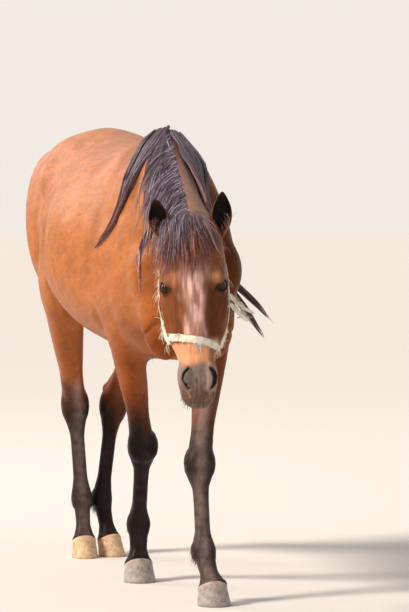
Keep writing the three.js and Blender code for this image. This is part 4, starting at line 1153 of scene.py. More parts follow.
def short_hair(name, gloss):
    """Short horse hair, grown flat: streaks along its lie, and a soft sheen where light grazes it."""
    made, tree, shader = new_material(name)
    place = node(tree, "ShaderNodeTexCoord").outputs["Object"]
    upright = node(tree, "ShaderNodeAttribute", attribute_name="upright").outputs["Fac"]
    # Locks of the coat, 6 mm across and drawn coarser than single hairs so that they show. Single hairs,
    # 1.5 mm apart. Broad strokes, a hand wide, in which the hair lies a little differently.
    patterns = []
    for on_body, on_leg, detail in ((160, 160, 4), (660, 660, 2), (26, 40, 3)):
        body, leg = combed(tree, place, 1, -21, on_body, detail), combed(tree, place, 2, 0, on_leg, detail)
        inputs = {0: upright, 2: body, 3: leg}
        patterns.append(node(tree, "ShaderNodeMix", inputs, data_type="FLOAT").outputs[0])
    locks, hairs, strokes = patterns
    dapple = node(tree, "ShaderNodeTexNoise", {"Vector": place, "Scale": 18.0, "Detail": 3.0}).outputs["Fac"]
    fine = node(tree, "ShaderNodeMath", {0: locks, 1: strokes}, operation="ADD").outputs[0]
    mean = node(tree, "ShaderNodeMath", {0: fine, 1: 0.5}, operation="MULTIPLY").outputs[0]
    spread = []
    for value, low, high in ((mean, 0.72, 1.22), (dapple, 0.86, 1.12), (dapple, gloss - 0.06, gloss + 0.08)):
        limits = {"Value": value, "From Min": 0.3, "From Max": 0.7, "To Min": low, "To Max": high}
        spread.append(node(tree, "ShaderNodeMapRange", limits).outputs["Result"])
    tone, patches, roughness = spread
    both = node(tree, "ShaderNodeMath", {0: tone, 1: patches}, operation="MULTIPLY").outputs[0]
    low = node(tree, "ShaderNodeMath", {0: locks, 1: 0.5}, operation="MULTIPLY").outputs[0]
    relief = node(tree, "ShaderNodeMath", {0: low, 1: hairs}, operation="ADD").outputs[0]
    # The skin under the strokes rises and sinks by a few millimetres
    folds = node(tree, "ShaderNodeBump", {"Strength": 0.3, "Distance": 0.006, "Height": strokes})
    inputs = {"Strength": 0.14, "Distance": 0.0012, "Height": relief, "Normal": folds.outputs["Normal"]}
    surface = {
        "Base Color": toned_markings(tree, both),
        "Normal": node(tree, "ShaderNodeBump", inputs).outputs["Normal"],
        "Roughness": roughness,
        "IOR": 1.3,
        "Specular IOR Level": 0.22,
        "Sheen Weight": 0.06,
        "Sheen Roughness": 0.4,
        "Sheen Tint": (*linear("#F0CFC6"), 1),
    }
    fill(tree, shader, surface)
    return made


# ---- Settings that a user would change ----
def colour_setting(name, hex_colour, what):
    return FloatVectorProperty(
        name=name, description=what, subtype="COLOR", size=3, min=0, max=1, default=linear(hex_colour)
    )


class HorseCoat(PropertyGroup):
    """Colours of the coat."""

    bay: colour_setting("Bay", "#B7703E", "Main colour of the body")
    # Dusty bay is also laid on as a painted sheen, on the top of the back and on the ridges of muscle
    dusty_and_sheen: colour_setting("Dusty bay", "#D1977F", "Back and quarters, bleached and dusty")
    deep: colour_setting("Deep bay", "#93491A", "Belly, breast and the upper legs")
    points: colour_setting("Points", "#0F0908", "Lower legs")
    # The dust colour on the legs is partly dust and partly a painted sheen
    dust: colour_setting("Dust", "#8E7A76", "On the lower legs of the left front and right hind")
    # The pale pink of the face is laid down the forehead and nasal bridge as a painted sheen
    face: colour_setting("Face", "#DFB3A8", "Forehead and nasal bridge")
    face_shade: colour_setting("Side of the face", "#864E2E", "Cheeks beside the nasal bridge")
    tan: colour_setting("Tan", "#F6AE84", "Above the muzzle")
    muzzle: colour_setting("Muzzle", "#8C7974", "Nostrils and lips")
    horn: colour_setting("Horn", "#A8A09D", "Front hooves")
    sandy: colour_setting("Sandy horn", "#DDBB98", "Hind hooves and the dust on the coronets")


class HorseHair(PropertyGroup):
    """Mane, forelock and tail."""

    dark: colour_setting("Dark hair", "#625866", "Most of the long hair")
    red: colour_setting("Red hair", "#A8624A", "Sun-bleached strands and ends")
    strand: FloatProperty(name="Strand", description="Width at its root, in mm", default=2.6, min=0.5)


class HorseHalter(PropertyGroup):
    """The halter's tape."""

    clean: colour_setting("Tape", "#FFFAEE", "Clean threads")
    dirty: colour_setting("Dirty tape", "#EADBBA", "Worn and dirty threads")


class HorseStage(PropertyGroup):
    """The camera and its stand."""

    lens: FloatProperty(name="Lens", description="Focal length", default=223.5, min=20, unit="CAMERA")
    height: FloatProperty(name="Camera height", description="Over the floor", default=1.5, unit="LENGTH")
    distance: FloatProperty(name="Distance", description="From the withers", default=12.22, unit="LENGTH")
    key: FloatProperty(name="Key light", description="Strength of the sun lamp", default=3.3, min=0)


# ---- Long hair and threads: tapered strands along paths ----
def curve_through(places, count):
    """Evenly read points on a smooth curve through some places."""
    p = np.vstack([2 * places[0] - places[1], places, 2 * places[-1] - places[-2]])
    u = np.linspace(0, len(places) - 1 - 1e-9, count)
    i, t = u.astype(int), (u % 1)[:, None]
    a, b, c, d = p[i], p[i + 1], p[i + 2], p[i + 3]
    return 0.5 * (2 * b + (c - a) * t + (2 * a - 5 * b + 4 * c - d) * t**2 + (3 * b - a - 3 * c + d) * t**3)


ODD_WAY = np.array([0.31, 0.17, 0.93])  # a way that no strand follows
SIDES = 3  # of a strand


def strand_mesh(name, paths, widths, colours, material, normal=None, upright=None):
    """One mesh of three-sided strands. Paths are strands by points by 3, widths and colours for each point.

    With a normal the strands are flat, with an edge on each side and a low ridge on top."""
    count, steps = paths.shape[:2]
    along = unit(np.gradient(paths, axis=1) + 1e-9)
    across = unit(np.cross(along, ODD_WAY if normal is None else normal[:, None]) + 1e-9)
    other = np.cross(along, across)
    turns = 2 * math.pi * (np.arange(SIDES) / SIDES - 0.25)
    flat = 1.0 if normal is None else 0.12
    rim = np.cos(turns)[:, None] * across[:, :, None] + flat * np.sin(turns)[:, None] * other[:, :, None]
    points = paths[:, :, None] + rim * widths[:, :, None, None] / 2
    base = (np.arange(count) * steps * SIDES)[:, None, None]
    ring = (np.arange(steps - 1) * SIDES)[:, None]
    j, k = np.arange(SIDES), (np.arange(SIDES) + 1) % SIDES
    quads = np.stack([base + ring + j, base + ring + k, base + ring + SIDES + k, base + ring + SIDES + j], -1)
    shades = np.repeat(colours[:, :, None], SIDES, axis=2).reshape(-1, 3)
    unwrap = root_patches(paths[:, 0], steps)
    if upright is not None:
        upright = np.repeat(upright, steps * SIDES)
    return mesh_object(name, points.reshape(-1, 3), quads.reshape(-1, 4), material, shades, unwrap, upright)


# ---- The coat's unwrap ----
PATCH = 0.003  # a strand's share of the unwrap
# The strips for trunk, neck, head and each leg: left, bottom, width and height
LEG_STRIPS = [(0.42 + 0.145 * i, 0.52, 0.13, 0.47) for i in range(4)]
STRIPS = np.array([(0, 0, 0.56, 0.5), (0.58, 0, 0.4, 0.5), (0, 0.52, 0.4, 0.47), *LEG_STRIPS])


def root_patches(roots, steps):
    """Lays each strand on a small patch of the unwrap, at its root's place."""
    up, over = np.arange(steps - 1) / (steps - 1), np.arange(SIDES) / SIDES
    low = np.stack(np.broadcast_arrays(over[None, :], up[:, None]), -1)
    offsets = np.array([[0, 0], [1 / SIDES, 0], [1 / SIDES, 1 / (steps - 1)], [0, 1 / (steps - 1)]])
    patch = (low[:, :, None] + offsets - 0.5) * PATCH
    return (unwrapped(roots)[:, None, None, None] + patch[None]).reshape(-1, 2)


def unwrapped(p):
    """Where points lie on the skin's unwrap: trunk, neck and head in strips, and each leg in its own."""
    return np.clip(unwrap_of(p, region_of(p)), 0.002, 0.998)


def region_of(p):
    """The strip that each point belongs to: the one with the lowest rank of those that claim it."""
    ranks = [
        np.where(p[:, 2] > 700, 200, 900),
        np.where(neck_field(p) < trunk_field(p) + 10, 150, 950),
        np.where(head_field(p) < 8, 100, 990),
        *(np.where((leg(p) < 24) & (p[:, 2] < 860), 120, 980) for leg in leg_fields),
    ]
    return np.argmin(ranks, axis=0)


def unwrap_of(p, region):
    """Turns round each part's axis and lengths along it, as places in that part's strip."""
    down, left, forward = head_place(p)
    neck_t = (p - NECK_BASE) @ unit(NECK_END - NECK_BASE) / neck_length
    middle = NECK_BASE + neck_t[:, None] * (NECK_END - NECK_BASE)
    frames = [
        (p[:, 0], p[:, 2] - 1120, (-p[:, 1] + 1180) / 1600),
        (p[:, 0] - middle[:, 0], p[:, 2] - middle[:, 2], (neck_t + 0.4) / 1.7),
        (left, forward + 90, (down + 40) / 640),
    ]
    for leg in LEGS:
        x, y = leg_axis(leg, p[:, 2])
        frames.append((p[:, 0] - x, y - p[:, 1], p[:, 2] / 900))
    out = np.zeros((len(p), 2))
    for i, ((x, y, t), (u, v, w, h)) in enumerate(zip(frames, STRIPS)):
        turn = np.arctan2(x, y) / (2 * math.pi) + 0.5
        here = region == i
        out[here] = np.column_stack([u + w * turn, v + h * np.clip(t, 0, 1)])[here]
    return out


def skin_unwrap(points, faces):
    """The unwrap of each corner of the skin, with a face kept whole where it crosses a strip's edge."""
    counts = np.array([len(f) for f in faces])
    corners = np.concatenate([np.asarray(f) for f in faces])
    starts = np.concatenate([[0], np.cumsum(counts)[:-1]])
    owner = np.repeat(np.arange(len(faces)), counts)
    centres = np.add.reduceat(points[corners], starts) / counts[:, None]
    region = region_of(centres)
    place = unwrap_of(points[corners], region[owner])
    middle = unwrap_of(centres, region)[owner]
    widths = STRIPS[region[owner], 2]
    place[:, 0] -= widths * np.round((place[:, 0] - middle[:, 0]) / widths)
    return np.clip(place, 0, 1)


# ---- Paths of long hair ----
def hanging(roots, heading, lengths, pull, form, lift, stiff=0.6, steps=12, seed=1):
    """Paths of hair that leaves its roots one way and falls another, and lies on the form it meets."""
    rng = np.random.default_rng(seed)
    p, d = roots.copy(), unit(heading)
    path = [p]
    sway = rng.normal(0, 0.10, (len(p), 3))
    for _ in range(steps - 1):
        sway = 0.7 * sway + rng.normal(0, 0.045, (len(p), 3))
        d = unit(stiff * d + (1 - stiff) * pull + sway)
        q = p + d * (lengths / (steps - 1))[:, None]
        value, slope = slope_of(form, q, 1.0)
        short = np.clip(lift - value, 0, 14)
        q = q + slope * short[:, None]
        d = unit(q - p)
        p = q
        path.append(p)
    return np.stack(path, axis=1)


def read_along(paths, u):
    """Reads each path at its own steps, which may lie between its points."""
    i = np.clip(u.astype(int), 0, paths.shape[1] - 2)
    w = (u - i)[..., None]
    rows = np.arange(len(paths))[:, None]
    return paths[rows, i] * (1 - w) + paths[rows, i + 1] * w


def bundle(guides, per_guide, spread, seed=2, gather=0.25, shortest=0.72):
    """Strands round each guide path, close at the root, open along it and gathered at the tip."""
    rng = np.random.default_rng(seed)
    count, steps = guides.shape[:2]
    t = np.linspace(0, 1, steps)
    along = unit(np.gradient(guides, axis=1) + 1e-9)
    across = unit(np.cross(along, ODD_WAY) + 1e-9)
    other = np.cross(along, across)
    turn = rng.uniform(0, 2 * math.pi, (count, per_guide, 1))
    far = np.sqrt(rng.uniform(0, 1, (count, per_guide, 1))) * spread[:, None, None]
    opening = (0.55 + 0.45 * np.sin(math.pi * np.clip(t * 1.3, 0, 1))) * (1 - (1 - gather) * t**2)
    wander = turn + 0.9 * rng.normal(size=(count, per_guide, 1)) * t
    a, b = far * opening * np.cos(wander), far * opening * np.sin(wander)
    paths = guides[:, None] + a[..., None] * across[:, None] + 0.6 * b[..., None] * other[:, None]
    # Each strand stops at its own length
    keep = rng.uniform(shortest, 1.0, (count, per_guide, 1))
    return read_along(paths.reshape(-1, steps, 3), (t * keep * (steps - 1)).reshape(-1, steps))


def tapered(count, steps, root, tip, seed=3):
    rng = np.random.default_rng(seed)
    t = np.linspace(0, 1, steps)
    return rng.uniform(0.75, 1.25, (count, 1)) * (root + (tip - root) * t**1.4)


def hair_shades(count, steps, root, tip, share, seed=4):
    """Colours from root to tip, in which a share of the strands turns to the tip's colour early."""
    rng = np.random.default_rng(seed)
    t = np.linspace(0, 1, steps)[None, :]
    start = rng.uniform(1 - share * 1.6, 1.35, (count, 1))
    mix = smooth(0, 0.45, t - start + 0.25)[..., None]
    # About one strand in six is made much lighter: painted highlights where light shines on the hair
    tone = rng.uniform(0.12, 1.1, (count, 1, 1)) + 1.9 * (rng.uniform(size=(count, 1, 1)) > 0.82)
    return (np.array(root) * (1 - mix) + np.array(tip) * mix) * tone


def long_hair(name, gloss=0.36):
    """Long coarse horse hair, grown in locks: dark, with a cool shine across the strands."""
    made, tree, shader = new_material(name)
    place = node(tree, "ShaderNodeTexCoord").outputs["Object"]
    fine = node(tree, "ShaderNodeTexNoise", {"Vector": place, "Scale": 320.0, "Detail": 2.0}).outputs["Fac"]
    limits = {"Value": fine, "From Min": 0.3, "From Max": 0.7, "To Min": 0.6, "To Max": 1.5}
    surface = {
        "Base Color": toned_markings(tree, node(tree, "ShaderNodeMapRange", limits).outputs["Result"]),
        "Roughness": gloss,
        "IOR": 1.55,
        "Sheen Weight": 0.6,
        "Sheen Roughness": 0.3,
        "Sheen Tint": (*linear("#B9A9C8"), 1),
    }
    fill(tree, shader, surface)
    return made


def route(rows, place, form, facing, steps):
    """A lock's or strap's middle line, its normals, and its sizes along the way.

    Each row: a place, the sizes, and the height over the form, or None where it hangs free."""
    laid = [(place(*row[:3]), row[-1]) for row in rows]
    laid = [p if height is None else drawn_onto(form, p[None], height, 6)[0] for p, height in laid]
    line = curve_through(np.vstack(laid), steps)
    normal = np.tile(facing, (steps, 1)) if rows[0][-1] is None else slope_of(form, line)[1]
    at_row = np.linspace(0, len(rows) - 1, steps)
    sizes = [np.interp(at_row, np.arange(len(rows)), size) for size in list(zip(*rows))[3:-1]]
    return line, normal, *sizes


def crest_roots(count, low, high, seed):
    """Places along the crest, from the withers to the poll."""
    rng = np.random.default_rng(seed)
    t = np.sort(rng.uniform(low, high, count))
    line = unit(NECK_END - NECK_BASE)
    facing = unit(UP - line * (UP @ line))
    height = read_neck(t)[2]
    p = NECK_BASE + t[:, None] * (NECK_END - NECK_BASE) + (height + 2)[:, None] * facing
    p[:, 0] += rng.normal(-2, 3, count) - 26 * np.clip(t, 0, 1)
    return drawn_onto(head_and_neck, p, 1.0), t


def head_and_neck(p):
    return soft_min(torso_field(p), head_field(p), BLEND)


# Locks of mane and tail. Each row: place, half width, half thickness, height over the skin
MANE_LOCKS = {
    "shoulder": [
        (-4, 30, 1480, 30, 9, 6),
        (-56, 74, 1430, 42, 10, 7),
        (-112, 92, 1342, 44, 10, 7),
        (-156, 84, 1262, 38, 9, 7),
        (-192, 40, 1180, 26, 8, 6),
        (-219, -50, 1098, 5, 4, 5),
    ],
    "left": [
        (10, 56, 1477, 24, 8, 6),
        (62, 180, 1422, 48, 9, 7),
        (88, 330, 1345, 54, 10, 8),
        (88, 480, 1290, 50, 9, 8),
        (60, 630, 1225, 30, 5, 6),
    ],
    "right": [
        (-146, 318, 1232, 18, 8, 9),
        (-163, 362, 1178, 26, 10, 14),
        (-181, 425, 1115, 28, 9, None),
        (-196, 486, 1050, 20, 7, None),
        (-204, 528, 975, 9, 3, None),
    ],
}
TAIL = [
    (0, -1120, 1352, 34, 34, None),
    (32, -1212, 1300, 44, 42, None),
    (110, -1268, 1232, 54, 50, None),
    (215, -1272, 1158, 56, 50, None),
    (322, -1232, 1090, 48, 42, None),
    (415, -1165, 1025, 36, 32, None),
    (482, -1100, 968, 26, 22, None),
]
TAIL_LOCKS = {
    "upper": [
        (470, -1112, 985, 12, 10, None),
        (568, -1045, 888, 11, 8, None),
        (634, -1010, 803, 3, 3, None),
    ],
    "lower": [
        (470, -1112, 960, 12, 10, None),
        (540, -1060, 858, 11, 8, None),
        (618, -1035, 738, 3, 3, None),
    ],
}


def lock_paths(rows, count, steps, seed, facing, clumps=9):
    """Strands that fill a lock from end to end, in clumps that sway and draw together."""
    rng = np.random.default_rng(seed)
    line, normal, half, thick = route(rows, at, torso_field, unit(facing), steps)
    along = unit(np.gradient(line, axis=0))
    normal = unit(normal - along * (normal * along).sum(1)[:, None])
    side = np.cross(along, normal)
    turn = rng.uniform(0, 2 * math.pi, (count, 1))
    far = np.sqrt(rng.uniform(0.0, 1, (count, 1)))
    clump = rng.integers(0, clumps, count)
    place = np.linspace(-0.85, 0.85, clumps)[clump][:, None]
    phase = rng.uniform(0, 6.3, clumps)[clump][:, None]
    ease = np.linspace(0, 1, steps)[None]
    # Each clump sways, and draws together towards its end
    a = place + 0.17 * np.sin(5 * ease + phase) + far * np.cos(turn) * (1.8 - 1.0 * ease) / clumps
    b = 0.5 * far * np.sin(turn) + 0.4 * np.sin(3 * ease + 2 * phase)
    reach = rng.uniform(0.0, 0.05, (count, 1)) + rng.uniform(0, 0.12, clumps)[clump][:, None]
    wave = 0.05 * np.sin(9 * ease + rng.uniform(0, 6.3, (count, 1)))
    paths = line[None] + ((a + wave) * half)[..., None] * side + (b * thick)[..., None] * normal
    # Some strands start a little way along, and some stop before the end
    start, stop = reach * (steps - 1) * 0.4, (1 - reach * 2.2) * (steps - 1)
    return read_along(paths, start + (stop - start) * ease)


def ring_faces(rings, count, closed=False):
    """A grid of points in rings, and the faces between them. The last ring may meet the first."""
    grid = np.arange(rings * count).reshape(rings, count)
    after, above = np.roll(grid, -1, axis=1), np.roll(grid, -1, axis=0)
    faces = np.stack([grid, after, np.roll(above, -1, axis=1), above], -1)
    return grid, faces[: rings if closed else rings - 1].reshape(-1, 4)


# ---- Ears: cupped leaves ----
# Each row: share of the length, half width, depth of the cup, thickness of the wall
EAR = [
    [-0.12, 20, 22, 8],
    [0, 24, 26, 7],
    [0.16, 31, 30, 6],
    [0.38, 35, 26, 5],
    [0.62, 31, 17, 4.5],
    [0.82, 20, 9, 4],
    [0.95, 9, 4, 3],
    [1, 2.5, 2, 1.6],
]
EAR_WRAP = math.radians(108)  # how far the leaf curls round on each side
EAR_RINGS, EAR_ARC = 30, 15  # rings along the leaf, and points across each of its sides
read_ear = through(EAR)


def ear_leaf(s):
    """One ear's points, faces and colours: its outside first, then its hollow, ring by ring."""
    rings, arc = EAR_RINGS, EAR_ARC
    base = on_head(56, s * 73, -60)
    tip = on_head(-72 - s * 7, s * (103 - s * 3), -46)
    axis = tip - base
    opening = unit(head_out + 0.35 * s * head_left)
    wide = unit(np.cross(axis, opening))
    t = np.linspace(-0.12, 1, rings)
    _, half, cup, wall = read_ear(t)
    bow = 7 * np.sin(math.pi * np.clip(t, 0, 1))
    centre = base + t[:, None] * axis + (s * bow)[:, None] * head_left
    angle = np.linspace(-EAR_WRAP, EAR_WRAP, arc)
    layers = []
    for inset, order in ((0.0, 1), (1.0, -1)):
        a = angle[::order]
        x = ((half - inset * wall)[:, None] * np.sin(a))[..., None]
        y = (-(cup - inset * wall)[:, None] * np.cos(a))[..., None]
        layers.append(centre[:, None] + x * wide + y * opening)
    points = np.concatenate(layers, axis=1)
    look = bpy.context.scene.horse_coat
    outside, inside = 0.35 * np.array(look.face_shade), 0.45 * np.array(look.points)
    fringe = np.array(look.tan)
    shade = np.broadcast_to(outside, points.shape).copy()
    shade[:, arc:] = inside
    edge = smooth(0.75, 1.0, np.abs(angle) / EAR_WRAP)[None, :, None]
    low = (smooth(0.6, 0.1, t) * 0.75)[:, None, None]
    shade[:, :arc] += (0.2 * (fringe - outside)) * edge * low
    shade[:, arc:] += (0.6 * (fringe - inside)) * edge[:, ::-1] * low
    shade += (0.4 * outside - shade) * smooth(0.8, 1.0, t)[:, None, None]
    count = 2 * arc
    grid, faces = ring_faces(rings, count)
    end = grid[-1]
    lid = [[end[i], end[i + 1], end[count - 2 - i], end[count - 1 - i]] for i in range(arc - 1)]
    faces = np.vstack([faces, lid])
    if s < 0:
        faces = faces[:, ::-1]
    return points.reshape(-1, 3), faces, shade.reshape(-1, 3)


# ---- Hooves ----
FORE_HOOF = {"half": 54, "toe": 60, "heel": 52, "coronet_half": 45, "coronet_length": 47}
HIND_HOOF = {"half": 46.5, "toe": 60, "heel": 52, "coronet_half": 40, "coronet_length": 45}


def hoof_wall(leg, size, rings=26, turns=56):
    """A hoof's points, faces and height share: rings from the ground up, a coronet roll, and a flat sole."""
    side = unit(np.cross(leg.toe, UP))
    top = leg.coronet - 0.4 * leg.coronet_normal
    angle = np.linspace(0, 2 * math.pi, turns, endpoint=False)
    c, s = np.cos(angle), np.sin(angle)
    heel_in = np.where(c < 0, 1 - 0.16 * c * c, 1)
    frog = 5 * bell(np.abs(angle - math.pi) / 0.30)  # the cleft between the heels
    low = leg.hoof + (c * np.where(c > 0, size["toe"], size["heel"]) + frog)[:, None] * leg.toe
    low = low + (s * size["half"] * heel_in)[:, None] * side
    high = top + (c * size["coronet_length"] + 0.6 * frog)[:, None] * leg.coronet_slope
    high = high + (s * size["coronet_half"])[:, None] * side
    share = np.concatenate([[0], np.linspace(0.015, 1, rings - 1)])
    out = unit(c[:, None] * leg.toe + s[:, None] * side)
    rows = []
    for t in share:
        growth = 0.45 * math.sin(t * 62) * (0.3 + 0.7 * smooth(0.05, 0.3, t))
        roll = 1.6 * bell((t - 0.93) / 0.06) - 2.2 * smooth(0.97, 1.0, t)
        tuck = -1.5 if t == 0 else 0
        rows.append(low + (high - low) * t + out * (growth + roll + tuck - 0.6))
    points = np.vstack([*rows, leg.hoof[None], top[None]])
    grid, faces = ring_faces(rings, turns)
    faces = faces.tolist()
    count = rings * turns
    faces += [[grid[0, (j + 1) % turns], grid[0, j], count] for j in range(turns)]
    faces += [[grid[-1, j], grid[-1, (j + 1) % turns], count + 1] for j in range(turns)]
    return points, faces, np.concatenate([np.repeat(share, turns), [0, 1]])


# ---- Halter: frayed woven tape ----
TAPE_HALF, TAPE_THICK = 11.0, 2.2
FRAYS = ((130, 46), (90, 34), (60, 14), (90, 34), (90, 36))  # loose threads on each strap, and their length


# Each row: place on the head, half width, height over the skin
STRAPS = {
    "halter_cheek_right": [
        (378, -82, -82, 6.5, 5),
        (330, -94, -84, 6.5, 5),
        (270, -106, -94, 6, 5),
        (200, -112, -106, 6, 5),
        (130, -104, -120, 6, 5),
    ],
    "halter_cheek_left": [
        (396, 78, -84, 5.5, 5),
        (340, 90, -86, 5, 5),
        (275, 104, -96, 5, 5),
        (200, 112, -106, 5.5, 5),
        (130, 104, -120, 6, 5),
    ],
    "halter_crown": [
        (122, -104, -121, 6, 5),
        (70, -98, -118, 6, 5),
        (20, -80, -112, 6, 6),
        (-14, -38, -98, 6, 6),
        (-20, 0, -92, 6, 6),
        (-14, 38, -98, 6, 6),
        (20, 80, -112, 6, 6),
        (70, 98, -118, 6, 5),
        (122, 104, -121, 6, 5),
    ],
    "halter_end_upper": [
        (236, 108, -66, 4.5, None),
        (254, 124, -72, 5.5, None),
        (275, 148, -80, 5.5, None),
        (294, 180, -86, 4, None),
    ],
    "halter_end_lower": [
        (262, 107, -68, 5.5, None),
        (288, 130, -76, 6.5, None),
        (316, 160, -82, 4.5, None),
    ],
}


def nose_height(angle):
    left = np.sin(angle)
    return 370 + 15 * left + 13 * np.maximum(0, left) ** 3 + 6 * np.cos(angle)


def tape(path, normal, half, thick, closed=False, across=6, ragged=0.7, seed=5):
    """A woven strip along a path: its edges are ragged, and it cups a little. Returns points and faces."""
    rng = np.random.default_rng(seed)
    steps = len(path)
    along = unit(np.roll(path, -1, 0) - np.roll(path, 1, 0) if closed else np.gradient(path, axis=0))
    normal = unit(normal - along * (normal * along).sum(1)[:, None])
    side = np.cross(along, normal)
    v = np.linspace(-1, 1, across + 1)
    wide = half * np.ones(steps) if np.isscalar(half) else half
    edge = rng.normal(0, ragged, (2, steps))
    lift = thick / 2
    rows = []
    for k, x in enumerate(v):
        rag = edge[0] if k == 0 else edge[1] if k == across else 0 * edge[0]
        crown = 0.5 * math.cos(x * math.pi / 2) + 0.35 * np.sin(np.arange(steps) * 1.9 + k * 2.2)
        offset = (x * wide + np.sign(x) * rag)[:, None] * side
        rows.append((path + offset + (lift + crown)[:, None] * normal, path + offset - lift * normal))
    upper = np.stack([r[0] for r in rows], axis=1)
    lower = np.stack([r[1] for r in rows], axis=1)[:, ::-1]
    section = np.concatenate([upper, lower], axis=1)
    grid, faces = ring_faces(steps, section.shape[1], closed)
    faces = faces.tolist()
    if not closed:
        faces += [grid[0, ::-1].tolist(), grid[-1].tolist()]
    return section.reshape(-1, 3), faces


def frays(path, side, normal, half, count, length, seed, bunches):
    """Loose threads that leave a tape's edges in bunches, and curl."""
    rng = np.random.default_rng(seed)
    steps = 7
    bunch = rng.integers(0, bunches, count)
    i = rng.uniform(0, len(path) - 1, bunches)[bunch] + rng.normal(0, 0.5, count)
    i = np.clip(i, 0, len(path) - 1.001)
    k, w = i.astype(int), (i % 1)[:, None]
    root = path[k] * (1 - w) + path[k + 1] * w
    edge = rng.choice([-1.0, 1.0], bunches)[bunch]
    out = side[k] * edge[:, None]
    root = root + out * half * rng.uniform(0.7, 1.0, (count, 1))
    d = unit(out * 0.8 + rng.normal(0, 0.4, (count, 3)) + normal[k] * 0.3)
    far = length * (rng.uniform(0.15, 1.0, bunches) ** 1.4)[bunch][:, None]
    far = far * rng.uniform(0.6, 1.0, (count, 1))
    points = [root]
    curl = rng.normal(0, 0.4, (bunches, 3))[bunch] + rng.normal(0, 0.22, (count, 3))
    for _ in range(steps - 1):
        d = unit(d - 0.42 * UP + 0.5 * curl)
        points.append(points[-1] + d * far / (steps - 1))
    return np.stack(points, axis=1)


# ---- Pieces ----
class HORSE_OT_skin(Operator):
    """One skin over the trunk, neck, head, ears and legs"""

    bl_idname = "horse.skin"
    bl_label = "Skin"

    def execute(self, context):
        values, low = sampled(body_field, CELL)
        points, faces = surface_net(values, low, CELL)
        points = relaxed(points, faces, body_field)
        points = drawn_onto(skin_field, points)
        points, faces = refined(points, faces, wants_detail, skin_field, 4)
        colours = coat_colours(points)
        unwrap = skin_unwrap(points, faces)
        for s in (1, -1):
            leaf, leaf_faces, leaf_colours = ear_leaf(s)
            unwrap = np.vstack([unwrap, unwrapped(leaf[np.concatenate(leaf_faces)])])
            faces += (leaf_faces + len(points)).tolist()
            points = np.vstack([points, leaf])
            colours = np.vstack([colours, leaf_colours])
        material = short_hair("Short horse hair, grown flat", 0.42)
        piece = mesh_object("skin", points, faces, material, colours, unwrap, uprightness(points))
        flesh = ["trunk", "neck", "head", "ear_left", "ear_right"]
        flesh += [f"foreleg_{s}_{part}" for s in FORELEGS for part in ("forearm", "cannon", "pastern")]
        flesh += [f"hindleg_{s}_{part}" for s in HINDLEGS for part in ("gaskin", "cannon", "pastern")]
        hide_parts(*flesh)
        return {"FINISHED"}


def scattered(piece, count, size_at, seed):
    """Random places on a piece's mesh, closer together where the tufts are small, and the normals there."""
    mesh = piece.data
    mesh.calc_loop_triangles()
    corners = np.empty(len(mesh.loop_triangles) * 3, np.int64)
    mesh.loop_triangles.foreach_get("vertices", corners)
    points, normals = np.empty(len(mesh.vertices) * 3), np.empty(len(mesh.vertices) * 3)
    mesh.vertices.foreach_get("co", points)
    mesh.vertex_normals.foreach_get("vector", normals)
    points = points.reshape(-1, 3)[corners].reshape(-1, 3, 3) * 1000 - SHIFT
    normals = normals.reshape(-1, 3)[corners].reshape(-1, 3, 3)
    area = np.linalg.norm(np.cross(points[:, 1] - points[:, 0], points[:, 2] - points[:, 0]), axis=1)
    size = size_at(points.mean(axis=1))
    weight = np.where(size > 0, area / np.maximum(size, 4) ** 1.5, 0)
    rng = np.random.default_rng(seed)
    pick = rng.choice(len(points), count, p=weight / weight.sum())
    share = rng.dirichlet((1, 1, 1), count)[:, :, None]
    return (points[pick] * share).sum(axis=1), unit((normals[pick] * share).sum(axis=1))


def tuft_length(p):
    """Millimetres: long on the body, short on the face and the feet, none on lids, nostrils and lips."""
    eyes, nostrils, lips = from_features(p)
    down = head_place(p)[0]
    face = smooth(50, 10, plain_head(p)) * smooth(-30, 80, down)
    length = 17 - 6 * smooth(800, 400, p[:, 2])
    length = length * (1 - face) + face * (9 - 3 * smooth(380, 470, down))
    bare = (eyes < 30) | (nostrils < 15) | (lips < 8) | (p[:, 2] < 62) | (body_field(p) > 8)
    return np.where(bare, 0, length)


COAT_PIECES, TUFTS = 4, 12500  # pieces, and tufts in each, so that none is too large


class HORSE_OT_coat(Operator):
    """Short flat tufts over the whole skin, lying the way the hair grows"""

    bl_idname = "horse.coat"
    bl_label = "Coat"

    def execute(self, context):
        skin = bpy.data.objects.get("skin")
        if skin is None:
            self.report({"ERROR"}, "Make the skin before its coat")
            return {"CANCELLED"}
        material = short_hair("Short horse hair, tufts that lie over each other", 0.42)
        for part in range(COAT_PIECES):
            rng = np.random.default_rng(80 + part)
            roots, normal = scattered(skin, TUFTS, tuft_length, 90 + part)
            length = tuft_length(roots) * rng.uniform(0.75, 1.25, len(roots))
            length = np.maximum(length, 5)[:, None]
            way = hair_way(roots, normal)
            side = np.cross(normal, way)
            way = unit(way + 0.09 * rng.normal(size=(len(roots), 1)) * side)
            middle = drawn_onto(skin_field, roots + 0.45 * length * way, 0.35, 2)
            bend = 0.04 * length * rng.normal(size=length.shape)
            tip = drawn_onto(skin_field, roots + length * way + bend * side, 0.1, 2)
            paths = np.stack([roots - 0.5 * normal, middle, tip], axis=1)
            widths = 0.12 * length * np.array([0.8, 1.0, 0.12])
            shade = coat_colours(roots) * rng.uniform(0.94, 1.14, (len(roots), 1))
            shades = shade[:, None] * np.array([0.97, 1.0, 1.04])[:, None]
            piece = strand_mesh(f"coat_{part}", paths, widths, shades, material, normal, uprightness(roots))
            # Shaded like the skin under it, so that the tufts melt into it and break only its edges
            piece.data.normals_split_custom_set_from_vertices(np.repeat(normal, 3 * SIDES, axis=0).tolist())
        return {"FINISHED"}


